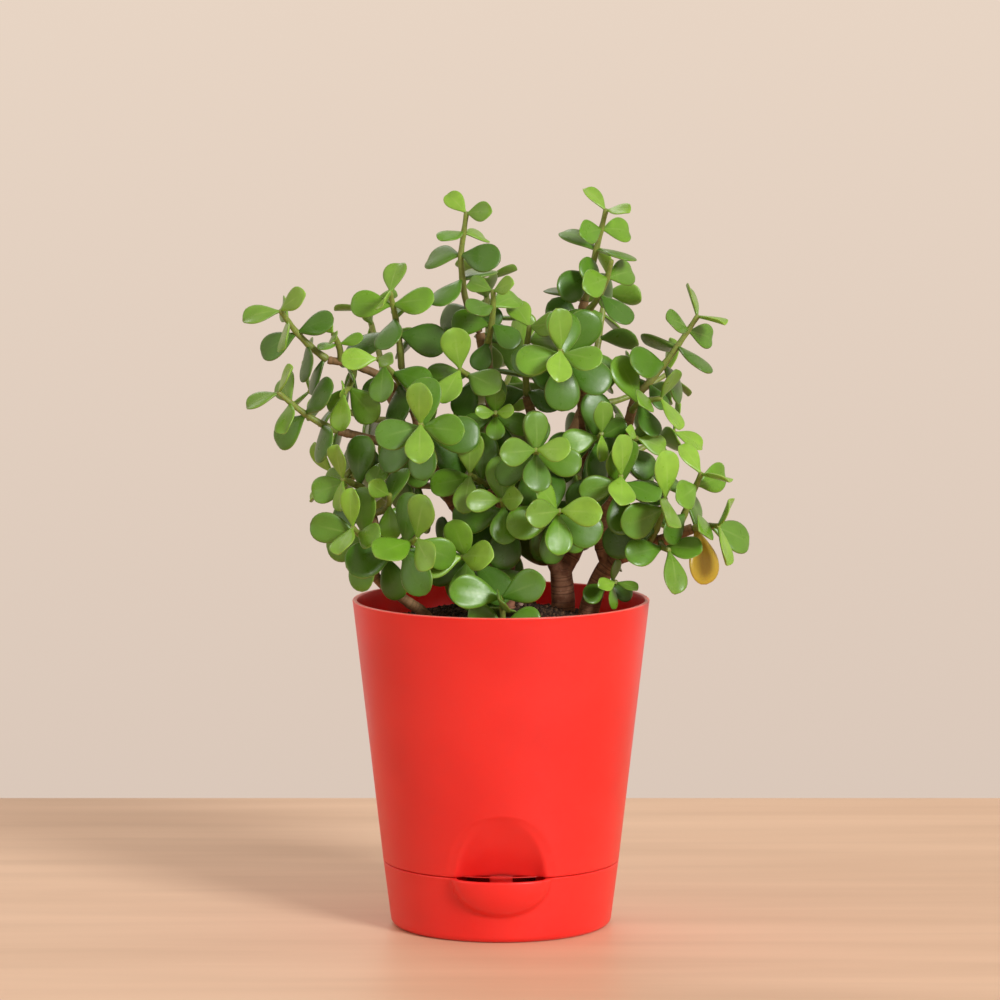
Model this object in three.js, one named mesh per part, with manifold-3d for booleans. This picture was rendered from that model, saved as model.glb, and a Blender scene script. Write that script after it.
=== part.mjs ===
// Potted dwarf jade plant in a two-piece self-watering pot.
//
// Millimetres, +Z up. The origin is the middle of the pot's flat underside, and -Y is the side
// of the pouring scoop. The plant is laid out from the rim plane: its heights count from there.

import * as THREE from 'three';
import { mergeVertices } from 'three/addons/utils/BufferGeometryUtils.js';
import Module from 'manifold-3d';

const wasm = await Module();
wasm.setup();

// ---- Sizes of the pot ----
const potHeight = 126; // table to rim
const rimRadius = 57; // outside
const seamHeight = 25; // top edge of the reservoir base
const seamRadius = 45.4; // outside
const footRadius = 42.2; // outside, where the side would meet the table
const footCorner = 3; // rounding between side and underside
const wall = 1.8;
const floorThickness = 2.2;
const seatGap = 0.3; // between two pieces that rest on each other

const scoopWidth = 37.2; // outside, at the seam
const scoopReach = 10; // how far the scoop stands out of the chord across its mouth
const scoopDepth = 15; // below the seam

const dentWidth = 35; // recess in the planter's front, above the scoop
const dentDepth = 6.6;
const dentHeight = 23;

const skirtDepth = 8; // ring under the planter that drops into the base
const skirtClearance = 0.5;
const tongueWidth = 8.8; // locating tongue behind the scoop's mouth
const tongueDepth = 8;

const cupTopRadius = 15; // soak cup that stands in the water
const cupBottomRadius = 11;
const cupClearance = 1.8; // above the reservoir's floor
const slotWidth = 3;
const slotHeight = 10;
const slotCount = 4;
const drainRadius = 2;
const drainCount = 6;
const drainCircle = 27;

// ---- Sizes of the soil and the plant ----
const soilMiddleDrop = 3; // below the rim, at the mound's top
const soilEdgeDrop = 12; // below the rim, at the pot's wall
const rootDepth = 26; // how far the stems go down, below the rim
const leafWidthShare = 0.76; // of the leaf's length
const leafThickness = 2.6;
const leafBend = 0.12; // how far the tip bends off straight, as a share of the length
const leafRootOffset = 0.6; // from the sprig's axis, so inside its stem
const sprigBaseRadius = 1.7;
const sprigTipRadius = 1.1;
const leafClearance = 0.4;

const potRed = 0xf0352a;
const soilBrown = 0x2b1d16;
const barkBrown = 0x6e4630;
const leafGreen = 0x5d8d30;

// ---- Solids out of three.js geometry ----
function solid(geometry) {
  const bare = geometry.clone();
  bare.deleteAttribute('normal');
  bare.deleteAttribute('uv');
  const merged = mergeVertices(bare, 1e-4);
  const position = merged.attributes.position;
  const corner = [0, 1, 2].map(() => new THREE.Vector3());
  const triangles = [];
  let volume = 0;
  for (let i = 0; i < merged.index.count; i += 3) {
    const [a, b, c] = [0, 1, 2].map((k) => merged.index.getX(i + k));
    if (a === b || b === c || c === a) continue; // collapsed at an axis
    [a, b, c].forEach((vertex, k) => corner[k].fromBufferAttribute(position, vertex));
    volume += corner[0].dot(corner[1].clone().cross(corner[2]));
    triangles.push([a, b, c]);
  }
  if (volume < 0) triangles.forEach((triangle) => triangle.reverse());
  return new wasm.Manifold(
    new wasm.Mesh({
      numProp: 3,
      vertProperties: Float32Array.from(position.array),
      triVerts: Uint32Array.from(triangles.flat()),
    }),
  );
}

function joined(solids) {
  return solids.reduce((all, next) => all.add(next));
}

function turned(profile, segments = 48) {
  const points = profile.map(([radius, height]) => new THREE.Vector2(radius, height));
  return solid(new THREE.LatheGeometry(points, segments).rotateX(Math.PI / 2));
}

function block(low, high) {
  const size = high.map((value, k) => value - low[k]);
  const middle = high.map((value, k) => (value + low[k]) / 2);
  return solid(new THREE.BoxGeometry(...size).translate(...middle));
}

function meshOf(name, manifold, color, roughness) {
  const { vertProperties, triVerts } = manifold.getMesh();
  const geometry = new THREE.BufferGeometry();
  geometry.setAttribute('position', new THREE.BufferAttribute(vertProperties, 3));
  geometry.setIndex(new THREE.BufferAttribute(triVerts, 1));
  geometry.computeVertexNormals();
  const mesh = new THREE.Mesh(
    geometry,
    new THREE.MeshStandardMaterial({ color, roughness, metalness: 0 }),
  );
  mesh.name = name;
  return mesh;
}

// ---- Pot ----
const baseTaper = (seamRadius - footRadius) / seamHeight;
const planterTaper = (rimRadius - seamRadius) / (potHeight - seamHeight);
const baseRadiusAt = (height) => footRadius + baseTaper * height;
const planterRadiusAt = (height) => seamRadius + planterTaper * (height - seamHeight);

const planterUnderside = seamHeight + seatGap;
const planterFloor = planterUnderside + floorThickness;
const cupBottom = floorThickness + cupClearance;

// Half-ellipsoid scoop, and the recess over it. Both stand on the seam plane. `skin` is what is
// added all round, so the same function makes the outside and the hollow of a wall.
function ellipsoid(halfWidth, halfDepth, halfHeight, middleY, lean) {
  const geometry = new THREE.SphereGeometry(1, 20, 12).rotateX(Math.PI / 2);
  geometry.scale(halfWidth, halfDepth, halfHeight).rotateX(lean);
  return solid(geometry.translate(0, middleY, seamHeight));
}

function scoop(skin) {
  const chord = -Math.sqrt(seamRadius ** 2 - (scoopWidth / 2) ** 2);
  return ellipsoid(scoopWidth / 2 + skin, scoopReach + skin, scoopDepth + skin, chord, 0);
}

function dent(skin) {
  const lean = Math.atan(planterTaper);
  const middleY = -(seamRadius + 0.5);
  const depth = dentDepth + 0.5;
  return ellipsoid(dentWidth / 2 + skin, depth + skin, dentHeight + skin, middleY, lean);
}

function footCornerPoints() {
  const steps = 3;
  return Array.from({ length: steps + 1 }, (_, k) => {
    const angle = (k / steps) * (Math.PI / 2);
    const side = baseRadiusAt(footCorner) - footCorner;
    return [side + footCorner * Math.sin(angle), footCorner * (1 - Math.cos(angle))];
  });
}

function reservoirBase() {
  const belowSeam = block([-100, -100, -100], [100, 100, seamHeight]);
  const body = turned([[0, 0], ...footCornerPoints(), [seamRadius, seamHeight], [0, seamHeight]]);
  const open = seamHeight + 5;
  const hollow = turned([
    [0, floorThickness],
    [baseRadiusAt(floorThickness) - wall - 1, floorThickness],
    [baseRadiusAt(floorThickness + 1) - wall, floorThickness + 1],
    [baseRadiusAt(open) - wall, open],
    [0, open],
  ]);
  return body.add(scoop(0).intersect(belowSeam)).subtract(hollow.add(scoop(-wall)));
}

// Skin 0 is the cup's outside and -wall its inside; the soil in it is a gap smaller again.
function soakCup(skin, top) {
  const bottom = cupBottom - skin;
  const slope = (cupTopRadius - cupBottomRadius) / (planterUnderside - cupBottom);
  const radiusAt = (height) => cupBottomRadius + slope * (height - cupBottom) + skin;
  return turned([[0, bottom], [radiusAt(bottom), bottom], [radiusAt(top), top], [0, top]], 16);
}

function planterRoom(top) {
  const bottomEdge = planterRadiusAt(planterFloor) - wall;
  const topEdge = planterRadiusAt(top) - wall;
  return turned([[0, planterFloor], [bottomEdge, planterFloor], [topEdge, top], [0, top]])
    .subtract(dent(wall));
}

function planter() {
  const body = turned([
    [0, planterUnderside],
    [planterRadiusAt(planterUnderside), planterUnderside],
    [rimRadius, potHeight],
    [0, potHeight],
  ]);
  const skirtOutside = baseRadiusAt(seamHeight - skirtDepth) - wall - skirtClearance;
  const skirtTop = planterUnderside + floorThickness / 2;
  const skirtBottom = seamHeight - skirtDepth;
  const skirt = turned([
    [skirtOutside - wall, skirtBottom],
    [skirtOutside, skirtBottom],
    [skirtOutside, skirtTop],
    [skirtOutside - wall, skirtTop],
    [skirtOutside - wall, skirtBottom],
  ]);
  const notch = block([-scoopWidth / 2, -seamRadius, 0], [scoopWidth / 2, -drainCircle, skirtTop]);
  const tongueFront = -(seamRadius - dentDepth) + wall / 4;
  const tongue = block(
    [-tongueWidth / 2, tongueFront, seamHeight - tongueDepth],
    [tongueWidth / 2, tongueFront + wall, skirtTop],
  );
  const slots = Array.from({ length: slotCount }, (_, k) => {
    const across = new THREE.BoxGeometry(2 * cupTopRadius, slotWidth, slotHeight);
    across.translate(cupTopRadius, 0, cupBottom + wall + slotHeight / 2);
    return solid(across.rotateZ(((k + 0.5) / slotCount) * 2 * Math.PI));
  });
  const drains = Array.from({ length: drainCount }, (_, k) => {
    const hole = new THREE.CylinderGeometry(drainRadius, drainRadius, 4 * floorThickness, 8);
    hole.rotateX(Math.PI / 2).translate(drainCircle, 0, planterFloor);
    return solid(hole.rotateZ(((k + 0.5) / drainCount) * 2 * Math.PI));
  });
  return body
    .subtract(dent(0))
    .add(skirt.subtract(notch))
    .add(tongue)
    .add(soakCup(0, planterFloor - 0.5))
    .subtract(planterRoom(potHeight + 5))
    .subtract(soakCup(-wall, planterFloor + 1))
    .subtract(joined([...slots, ...drains]));
}

// ---- Woody stems ----
// Each is one rooted cutting: a trunk with the arms that it forked into.
const samplesPerSpan = 2; // a bud at each sample

function arm(places, startRadius, endRadius) {
  const points = places.map(([x, y, height]) => new THREE.Vector3(x, y, potHeight + height));
  const curve = new THREE.CatmullRomCurve3(points, false, 'catmullrom', 0.5);
  const steps = samplesPerSpan * (points.length - 1);
  const path = Array.from({ length: steps + 1 }, (_, k) => curve.getPoint(k / steps));
  return { path, startRadius, endRadius };
}

const mainTrunk = arm([[24, 12, -rootDepth], [24, 12, -3], [23, 10, 11]], 5, 4.2);
const mainLeft = arm([[23, 10, 8], [18, 8, 20], [13, 4, 38], [14, 2, 58], [10, 0, 78]], 3.4, 1.8);
const mainRight = arm(
  [[23, 10, 8], [30, 12, 22], [34, 14, 44], [32, 13, 70], [29, 10, 98], [32, 8, 114]], 3.5, 1.7);
const rightTrunk = arm(
  [[32, 1, -rootDepth], [34, 2, -4], [41, 0, 13], [51, -3, 19], [61, -6, 23], [73, -8, 28]], 4.4, 2);
const rightArm = arm([[41, 0, 12], [38, -2, 26], [43, -4, 46], [48, -5, 66], [51, -6, 78]], 2.8, 1.7);
const middleTrunk = arm(
  [[2, -2, -rootDepth], [2, -3, -4], [2, -4, 28], [-1, -3, 56], [-5, -1, 84], [-8, 1, 102]], 3.8, 1.8);
const leftTrunk = arm(
  [[-11, 8, -rootDepth], [-11, 7, -5], [-13, 4, 26], [-22, 2, 43], [-31, 2, 66], [-38, 2, 88]], 3.3, 1.8);
const leftArm = arm([[-24, 2, 48], [-36, -1, 57], [-50, -4, 62], [-62, -5, 65]], 2, 1.5);
const leftTwig = arm([[-33, 2, 72], [-44, 1, 84], [-56, -1, 90], [-66, -2, 92]], 1.8, 1.4);
const lowTrunk = arm(
  [[-24, -12, -rootDepth], [-27, -14, -7], [-38, -18, 3], [-48, -20, 12], [-47, -18, 26], [-52, -15, 44]],
  2.3, 1.6);
const backTrunk = arm([[2, 26, -rootDepth], [2, 27, -6], [0, 33, 22], [-4, 38, 48], [-4, 40, 76]], 3.8, 1.8);
const backRight = arm([[0, 33, 22], [14, 40, 40], [28, 45, 60], [36, 46, 82]], 2.6, 1.7);
const backLeft = arm([[0, 33, 20], [-18, 38, 36], [-34, 42, 54], [-44, 42, 76]], 2.6, 1.7);

const woodyStems = {
  stem_main: [mainTrunk, mainLeft, mainRight],
  stem_right: [rightTrunk, rightArm],
  stem_middle: [middleTrunk],
  stem_left: [leftTrunk, leftArm, leftTwig],
  stem_low_left: [lowTrunk],
  stem_back: [backTrunk, backRight, backLeft],
};

// A tapering limb along a path, from a closed cylinder bent onto it. `skin` thickens it.
function limb({ path, startRadius, endRadius }, sides, skin = 0) {
  const steps = path.length - 1;
  const geometry = new THREE.CylinderGeometry(1, 1, 1, sides, steps);
  const along = path.map((_, k) =>
    path[Math.min(k + 1, steps)].clone().sub(path[Math.max(k - 1, 0)]).normalize());
  const across = [new THREE.Vector3(1, 0.3, 0.2)];
  along.forEach((direction, k) => {
    const carried = across[Math.max(k - 1, 0)].clone();
    across[k] = carried.addScaledVector(direction, -carried.dot(direction)).normalize();
  });
  const position = geometry.attributes.position;
  for (let i = 0; i < position.count; i += 1) {
    const k = Math.round((position.getY(i) + 0.5) * steps);
    const radius = THREE.MathUtils.lerp(startRadius, endRadius, k / steps) + skin;
    const end = (k === steps ? 1 : 0) - (k === 0 ? 1 : 0);
    const point = path[k].clone()
      .addScaledVector(across[k], position.getX(i) * radius)
      .addScaledVector(along[k].clone().cross(across[k]), position.getZ(i) * radius)
      .addScaledVector(along[k], end * skin);
    position.setXYZ(i, point.x, point.y, point.z);
  }
  return solid(geometry);
}

const woodSides = 7;
const woodSolid = (arms, skin = 0) => joined(arms.map((each) => limb(each, woodSides, skin)));

// ---- Soil ----
const soilLevel = (radius) => {
  const edge = planterRadiusAt(potHeight - soilEdgeDrop) - wall;
  const share = Math.min(radius / edge, 1);
  return potHeight - soilMiddleDrop - (soilEdgeDrop - soilMiddleDrop) * share ** 2;
};

function soil() {
  const rings = 3;
  const edgeHeight = potHeight - soilEdgeDrop;
  const edge = planterRadiusAt(edgeHeight) - wall - seatGap;
  const mound = Array.from({ length: rings + 1 }, (_, k) => {
    const radius = (edge * (rings - k)) / rings;
    return [radius, soilLevel(radius)];
  });
  const bottom = planterFloor + seatGap;
  const bottomEdge = planterRadiusAt(bottom) - wall - seatGap;
  const heap = turned([[0, bottom], [bottomEdge, bottom], ...mound]);
  const plug = soakCup(-wall - seatGap, planterFloor + 2);
  const roots = Object.values(woodyStems).map((arms) => woodSolid(arms, seatGap));
  return heap.subtract(dent(wall + seatGap)).add(plug).subtract(joined(roots));
}

// ---- Leafy sprigs ----
// A sprig leaves its arm at the free bud nearest to the sprig's elbow, and curves out to its
// tip. Leaves stand in opposite pairs, each pair a quarter turn round from the last.
const up = new THREE.Vector3(0, 0, 1);
const right = new THREE.Vector3(1, 0, 0);
const front = new THREE.Vector3(0, -1, 0);
const corner = new THREE.Vector3(1, -0.8, 0);
const sprigSteps = 3;
const sprigs = [];

const usedBuds = new Set();

function nearestBud(path, target) {
  const bud = path.filter((point) => !usedBuds.has(point)).reduce((best, point) =>
    (point.distanceTo(target) < best.distanceTo(target) ? point : best));
  usedBuds.add(bud);
  return bud;
}

function sprig(name, carrier, elbow, tip, first, pairs, spacing, youngLeaf, oldLeaf) {
  const [bend, end] = [elbow, tip].map(([x, y, h]) => new THREE.Vector3(x, y, potHeight + h));
  const start = carrier ? nearestBud(carrier.path, bend) : bend.clone().setZ(potHeight - 20);
  const curve = new THREE.QuadraticBezierCurve3(start, bend, end);
  const path = Array.from({ length: sprigSteps + 1 }, (_, k) => curve.getPoint(k / sprigSteps));
  const stem = { path, startRadius: sprigBaseRadius, endRadius: sprigTipRadius };
  sprigs.push({ name, stem, first, pairs, spacing, youngLeaf, oldLeaf, leaves: [] });
}

// name, arm, elbow, tip, first pair's direction, pairs, spacing, youngest and oldest leaf
sprig('front_left_star', leftTrunk, [-27, -24, 62], [-30, -48, 72], up, 4, 5, 16, 21);
sprig('low_left_star', lowTrunk, [-37, -30, 22], [-31, -46, 29], up, 4, 5, 16, 21);
sprig('cross', mainLeft, [13, -24, 53], [13, -46, 62], right, 4, 5, 15, 18);
sprig('low_cross', mainLeft, [20, -22, 30], [22, -44, 39], right, 4, 5, 15, 19);
sprig('front_star', mainRight, [24, -20, 88], [22, -40, 99], up, 4, 5, 15, 20);
sprig('right_mid', rightArm, [46, -16, 40], [45, -32, 51], up, 4, 6, 15, 20);
sprig('low_left', lowTrunk, [-52, -26, 24], [-56, -36, 32], up, 4, 5, 15, 20);
sprig('crown_left', leftTrunk, [-38, -2, 100], [-42, -14, 119], up, 6, 5, 13, 20);
sprig('top_middle', middleTrunk, [-20, 0, 120], [-13, -6, 149], corner, 7, 7, 11, 17);
sprig('middle_top', middleTrunk, [-2, -12, 106], [-3, -15, 120], corner, 5, 6, 12, 17);
sprig('top_right', mainRight, [33, 4, 120], [40, -4, 150], corner, 6, 7, 12, 18);
sprig('top_right_side', mainRight, [40, -6, 116], [42, -12, 131], corner, 4, 7, 14, 18);
sprig('right_high', rightArm, [60, -8, 86], [75, -10, 110], corner, 7, 6, 13, 18);
sprig('right_upper', rightArm, [50, -14, 78], [61, -20, 79], up, 4, 5, 14, 19);
sprig('right_low_end', rightTrunk, [80, -10, 30], [83, -17, 30], up, 3, 5, 15, 21);
sprig('right_end', rightTrunk, [71, -14, 38], [76, -20, 51], corner, 6, 5, 13, 19);
sprig('right_under', rightTrunk, [60, -14, 21], [64, -20, 21], up, 3, 5, 16, 19);
sprig('far_left_top', leftTwig, [-76, -2, 98], [-84, -11, 112], right, 6, 5, 14, 16);
sprig('far_left', leftArm, [-72, -6, 68], [-85, -13, 81], right, 6, 6, 13, 18);
sprig('left_twig_tip', leftTwig, [-60, -4, 97], [-64, -9, 103], front, 3, 5, 8, 12);
sprig('left_low_upper', lowTrunk, [-56, -16, 46], [-60, -26, 49], up, 5, 5, 14, 19);
sprig('left_mid', leftArm, [-54, -10, 52], [-62, -14, 46], up, 4, 5, 13, 17);
sprig('left_under', lowTrunk, [-40, -26, 36], [-42, -32, 44], right, 4, 5, 14, 18);
sprig('low_middle', middleTrunk, [3, -18, 34], [0, -34, 42], right, 4, 5, 15, 20);
sprig('low_middle_left', middleTrunk, [-10, -18, 16], [-15, -32, 20], right, 4, 5, 16, 20);
sprig('middle_left', middleTrunk, [-8, -14, 46], [-12, -28, 51], up, 4, 5, 15, 20);
sprig('middle', middleTrunk, [-2, -12, 70], [-2, -24, 74], right, 5, 4, 8, 14);
sprig('middle_right', mainRight, [36, -8, 60], [38, -22, 66], up, 5, 5, 13, 18);
sprig('upper_middle', mainLeft, [8, -6, 92], [11, -8, 106], corner, 5, 5, 14, 18);
sprig('left_dark', leftTrunk, [-42, -8, 90], [-47, -17, 94], right, 4, 5, 14, 19);
sprig('left_inner', leftTwig, [-56, -6, 82], [-60, -14, 80], up, 4, 5, 14, 18);
sprig('inner_left', leftArm, [-40, -10, 52], [-44, -18, 56], up, 4, 5, 15, 20);
sprig('inner_middle', middleTrunk, [-10, -10, 84], [-16, -18, 90], up, 5, 5, 15, 20);
sprig('inner_right', rightArm, [44, -14, 60], [52, -18, 64], right, 5, 5, 12, 18);
sprig('right_outer', rightTrunk, [62, -16, 32], [62, -26, 42], up, 4, 5, 17, 21);
sprig('front_seedling', null, [1, -40, 4], [0, -46, 7], right, 2, 5, 20, 14);
sprig('right_seedling', rightTrunk, [42, -4, 6], [44, -12, 8], right, 3, 4, 9, 12);
sprig('back_top', backTrunk, [-5, 46, 100], [-6, 56, 120], right, 4, 7, 13, 17);
sprig('back_top_right', backRight, [39, 50, 100], [42, 58, 122], up, 4, 7, 13, 17);
sprig('back_top_left', backLeft, [-48, 46, 94], [-53, 58, 108], right, 4, 7, 13, 17);
sprig('back_right', backRight, [48, 54, 68], [66, 60, 82], up, 4, 7, 13, 18);
sprig('back_left', backLeft, [-56, 50, 62], [-76, 52, 76], up, 4, 7, 13, 18);
sprig('back_star', backTrunk, [0, 60, 74], [8, 82, 90], up, 4, 6, 14, 20);
sprig('back_left_star', backTrunk, [-8, 58, 46], [-14, 80, 56], up, 4, 6, 14, 20);
sprig('back_right_star', backRight, [26, 58, 42], [42, 76, 50], right, 4, 6, 14, 20);
sprig('back_low_left', backLeft, [-30, 56, 38], [-50, 70, 44], right, 4, 6, 14, 19);
sprig('side_right', mainRight, [50, 24, 54], [68, 30, 62], up, 4, 7, 13, 18);
sprig('side_left', leftTrunk, [-40, 18, 42], [-66, 24, 46], up, 4, 7, 13, 18);
sprig('low_right_back', mainRight, [44, 26, 18], [60, 36, 26], right, 4, 6, 13, 17);
sprig('low_back', backTrunk, [2, 48, 14], [4, 64, 20], up, 4, 6, 14, 19);
sprig('low_left_back', leftTrunk, [-34, 26, 16], [-54, 36, 20], right, 4, 6, 13, 18);

// Leaf's outline from its root inside the stem to its tip: share of length, share of width.
const leafOutline = [[1, 0], [0.83, 0.43], [0.42, 0.4], [0, 0], [0.42, -0.4], [0.83, -0.43]];
const leafMiddle = 0.6;

function leafPoint({ root, along, across, face, length }, share, side, height) {
  return root.clone()
    .addScaledVector(along, share * length)
    .addScaledVector(across, side * leafWidthShare * length)
    .addScaledVector(face, height - leafBend * length * share ** 2);
}

function leafSolid(leaf) {
  const geometry = new THREE.SphereGeometry(1, leafOutline.length, 2);
  const position = geometry.attributes.position;
  for (let i = 0; i < position.count; i += 1) {
    const turn = Math.atan2(position.getZ(i), position.getX(i)) / (2 * Math.PI);
    const corner = Math.round(turn * leafOutline.length + leafOutline.length) % leafOutline.length;
    const pole = Math.round(position.getY(i));
    const [share, side] = pole ? [leafMiddle, 0] : leafOutline[corner];
    const point = leafPoint(leaf, share, side, (pole * leafThickness) / 2);
    position.setXYZ(i, point.x, point.y, point.z);
  }
  return solid(geometry);
}

// Every leaf and limb is felt out with balls, kept in a grid of cells, so that leaves grow clear
// of each other, of the stems and of the pot.
const cellSize = 10;
const cells = new Map();
const cellOf = (point) => point.toArray().map((value) => Math.floor(value / cellSize));

function keepBall(ball) {
  const key = cellOf(ball.place).join();
  if (!cells.has(key)) cells.set(key, []);
  cells.get(key).push(ball);
}

function hitsBall(ball) {
  const [i, j, k] = cellOf(ball.place);
  for (const x of [i - 1, i, i + 1]) {
    for (const y of [j - 1, j, j + 1]) {
      for (const z of [k - 1, k, k + 1]) {
        for (const other of cells.get([x, y, z].join()) ?? []) {
          const near = ball.place.distanceTo(other.place) < ball.radius + other.radius;
          if (near && (other.owner !== ball.owner || (ball.outer && other.outer))) return true;
        }
      }
    }
  }
  return false;
}

function hitsPot({ place, radius }) {
  const out = Math.hypot(place.x, place.y);
  const inside = rimRadius - wall;
  const onWall = place.z < potHeight + radius && out > inside - radius && out < rimRadius + radius;
  return onWall || (out <= inside && place.z < soilLevel(out) + radius);
}

function keepLimb({ path, startRadius, endRadius }, owner) {
  const step = 2;
  for (let k = 0; k < path.length - 1; k += 1) {
    const count = Math.ceil(path[k].distanceTo(path[k + 1]) / step);
    for (let m = 0; m < count; m += 1) {
      const share = (k + m / count) / (path.length - 1);
      const radius = THREE.MathUtils.lerp(startRadius, endRadius, share) + leafClearance;
      keepBall({ place: path[k].clone().lerp(path[k + 1], m / count), radius, owner, outer: false });
    }
  }
}

// Share of the leaf's length, then shares of its width.
const ballRows = [
  [0.17, [0]],
  [0.35, [-0.17, 0.17]],
  [0.52, [-0.32, 0, 0.32]],
  [0.7, [-0.34, 0, 0.34]],
  [0.88, [-0.2, 0.2]],
];
const ballSmallest = 0.65;
const ballShare = 0.08; // of the leaf's length, on top of the smallest

function leafBalls(leaf, owner) {
  return ballRows.flatMap(([share, sides], row) => sides.map((side) => ({
    place: leafPoint(leaf, share, side, 0),
    radius: ballSmallest + ballShare * leaf.length,
    owner,
    outer: row > 0,
  })));
}

// Numbers that look random and come out the same every time.
let seed = 11;
function chance() {
  seed = (seed * 1664525 + 1013904223) % 4294967296;
  return seed / 4294967296;
}

// Where a path is, and which way it runs, at a distance back from its tip.
function backFromTip(path, distance) {
  let left = distance;
  for (let k = path.length - 1; k > 0; k -= 1) {
    const span = path[k].distanceTo(path[k - 1]);
    if (left <= span) {
      const direction = path[k].clone().sub(path[k - 1]).normalize();
      return { place: path[k].clone().lerp(path[k - 1], left / span), direction };
    }
    left -= span;
  }
  return null;
}

// Angles in degrees. A leaf is young at the tip and full grown a few pairs down.
const degrees = Math.PI / 180;
const firstPairBack = 1; // mm from the tip
const pairsToGrow = 2.5;
const innerPairs = 4; // more on each sprig's older part, grown last, where they find room
const spacingGrowth = 0.08; // of the spacing, more at each pair
const sizeSpread = 0.16; // of the length
const youngTilt = 56;
const oldTilt = 86;
const tiltSpread = 14;
const youngSag = 0.3;
const oldSag = 0.9;
const twistSpread = 36;
// The light that a leaf turns its face to comes from all round, more from the window in front.
const openRadius = 55; // from the pot's axis, where the light from outside is full
const windowShare = 0.7;
const skyShare = 0.45;
const mostTwist = 65;
// What a leaf tries in turn until it grows clear: turn round the stem, tilt, share of its size.
const tries = [
  [0, 0, 1],
  [0, 14, 1],
  [0, -14, 1],
  [16, 0, 1],
  [-16, 0, 1],
  [0, 0, 0.85],
  [0, 26, 0.85],
  [0, -26, 0.85],
  [28, 0, 0.8],
  [-28, 0, 0.8],
  [0, 10, 0.65],
  [0, -20, 0.65],
];

// A leaf stands off its stem by `tilt`, hangs by its weight, and twists its face to the light.
function leafAt({ place, direction }, side, turn, tilt, sag, twist, length) {
  const out = side.clone().applyAxisAngle(direction, turn * degrees);
  const [stemward, outward] = [Math.cos(tilt * degrees), Math.sin(tilt * degrees)];
  const along = direction.clone().multiplyScalar(stemward).addScaledVector(out, outward);
  const upper = direction.clone().multiplyScalar(outward).addScaledVector(out, -stemward);
  along.addScaledVector(up, -sag).normalize();
  const face = upper.addScaledVector(along, -upper.dot(along)).normalize();
  const light = new THREE.Vector3(place.x / openRadius, place.y / openRadius - windowShare, skyShare);
  const toLight = Math.atan2(face.clone().cross(light).dot(along), face.dot(light));
  const lean = THREE.MathUtils.clamp(toLight, -mostTwist * degrees, mostTwist * degrees);
  face.applyAxisAngle(along, lean + twist * degrees);
  const root = place.clone().addScaledVector(along, leafRootOffset);
  return { root, along, face, across: along.clone().cross(face), length };
}

// The first of the tries that grows clear, or none.
function clearLeaf(node, side, tilt, sag, twist, length, owner) {
  for (const [turn, moreTilt, size] of tries) {
    const leaf = leafAt(node, side, turn, tilt + moreTilt, sag, twist, length * size);
    const balls = leafBalls(leaf, owner);
    if (balls.every((ball) => !hitsPot(ball) && !hitsBall(ball))) {
      balls.forEach(keepBall);
      return [leaf];
    }
  }
  return [];
}

function growLeaves({ name, stem, first, spacing, youngLeaf, oldLeaf, leaves }, firstPair, endPair) {
  for (let pair = firstPair; pair < endPair; pair += 1) {
    const back = firstPairBack + spacing * pair * (1 + spacingGrowth * pair);
    const node = backFromTip(stem.path, back);
    const grown = Math.min(pair / pairsToGrow, 1);
    for (const way of [1, -1]) {
      const [sizeChance, tiltChance, twistChance, sagChance] = [chance(), chance(), chance(), chance()];
      if (!node) continue;
      const side = first.clone().addScaledVector(node.direction, -first.dot(node.direction)).normalize();
      if (pair % 2) side.cross(node.direction);
      side.multiplyScalar(way);
      const fullLength = THREE.MathUtils.lerp(youngLeaf, oldLeaf, grown);
      const length = fullLength * (1 + sizeSpread * (sizeChance - 0.5));
      const tilt = THREE.MathUtils.lerp(youngTilt, oldTilt, grown) + tiltSpread * (tiltChance - 0.5);
      const sag = THREE.MathUtils.lerp(youngSag, oldSag, grown) * sagChance;
      const twist = twistSpread * (twistChance - 0.5);
      leaves.push(...clearLeaf(node, side, tilt, sag, twist, length, name));
    }
  }
}

Object.entries(woodyStems).forEach(([name, arms]) => arms.forEach((each) => keepLimb(each, name)));
sprigs.forEach((each) => keepLimb(each.stem, each.name));
sprigs.forEach((each) => growLeaves(each, 0, each.pairs));
sprigs.forEach((each) => growLeaves(each, each.pairs, each.pairs + innerPairs));

const sprigSides = 4;
const wholeWood = joined(Object.values(woodyStems).map((arms) => woodSolid(arms, seatGap)));

function sprigSolid({ stem, leaves }) {
  return joined([limb(stem, sprigSides), ...leaves.map(leafSolid)]).subtract(wholeWood);
}

// ---- The whole object ----
const plant = new THREE.Group();
plant.add(meshOf('reservoir_base', reservoirBase(), potRed, 0.35));
plant.add(meshOf('planter', planter(), potRed, 0.35));

const soilAndRoots = soil();
const seedling = sprigs.find(({ name }) => name === 'front_seedling');
const seedlingHole = limb(seedling.stem, sprigSides, seatGap);
plant.add(meshOf('soil', soilAndRoots.subtract(seedlingHole), soilBrown, 0.95));
for (const [name, arms] of Object.entries(woodyStems)) {
  plant.add(meshOf(name, woodSolid(arms), barkBrown, 0.8));
}
for (const each of sprigs) {
  plant.add(meshOf(`sprig_${each.name}`, sprigSolid(each), leafGreen, 0.4));
}

export default plant;
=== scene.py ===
import math

import bmesh
import bpy
import numpy as np
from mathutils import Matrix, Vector, noise


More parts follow.
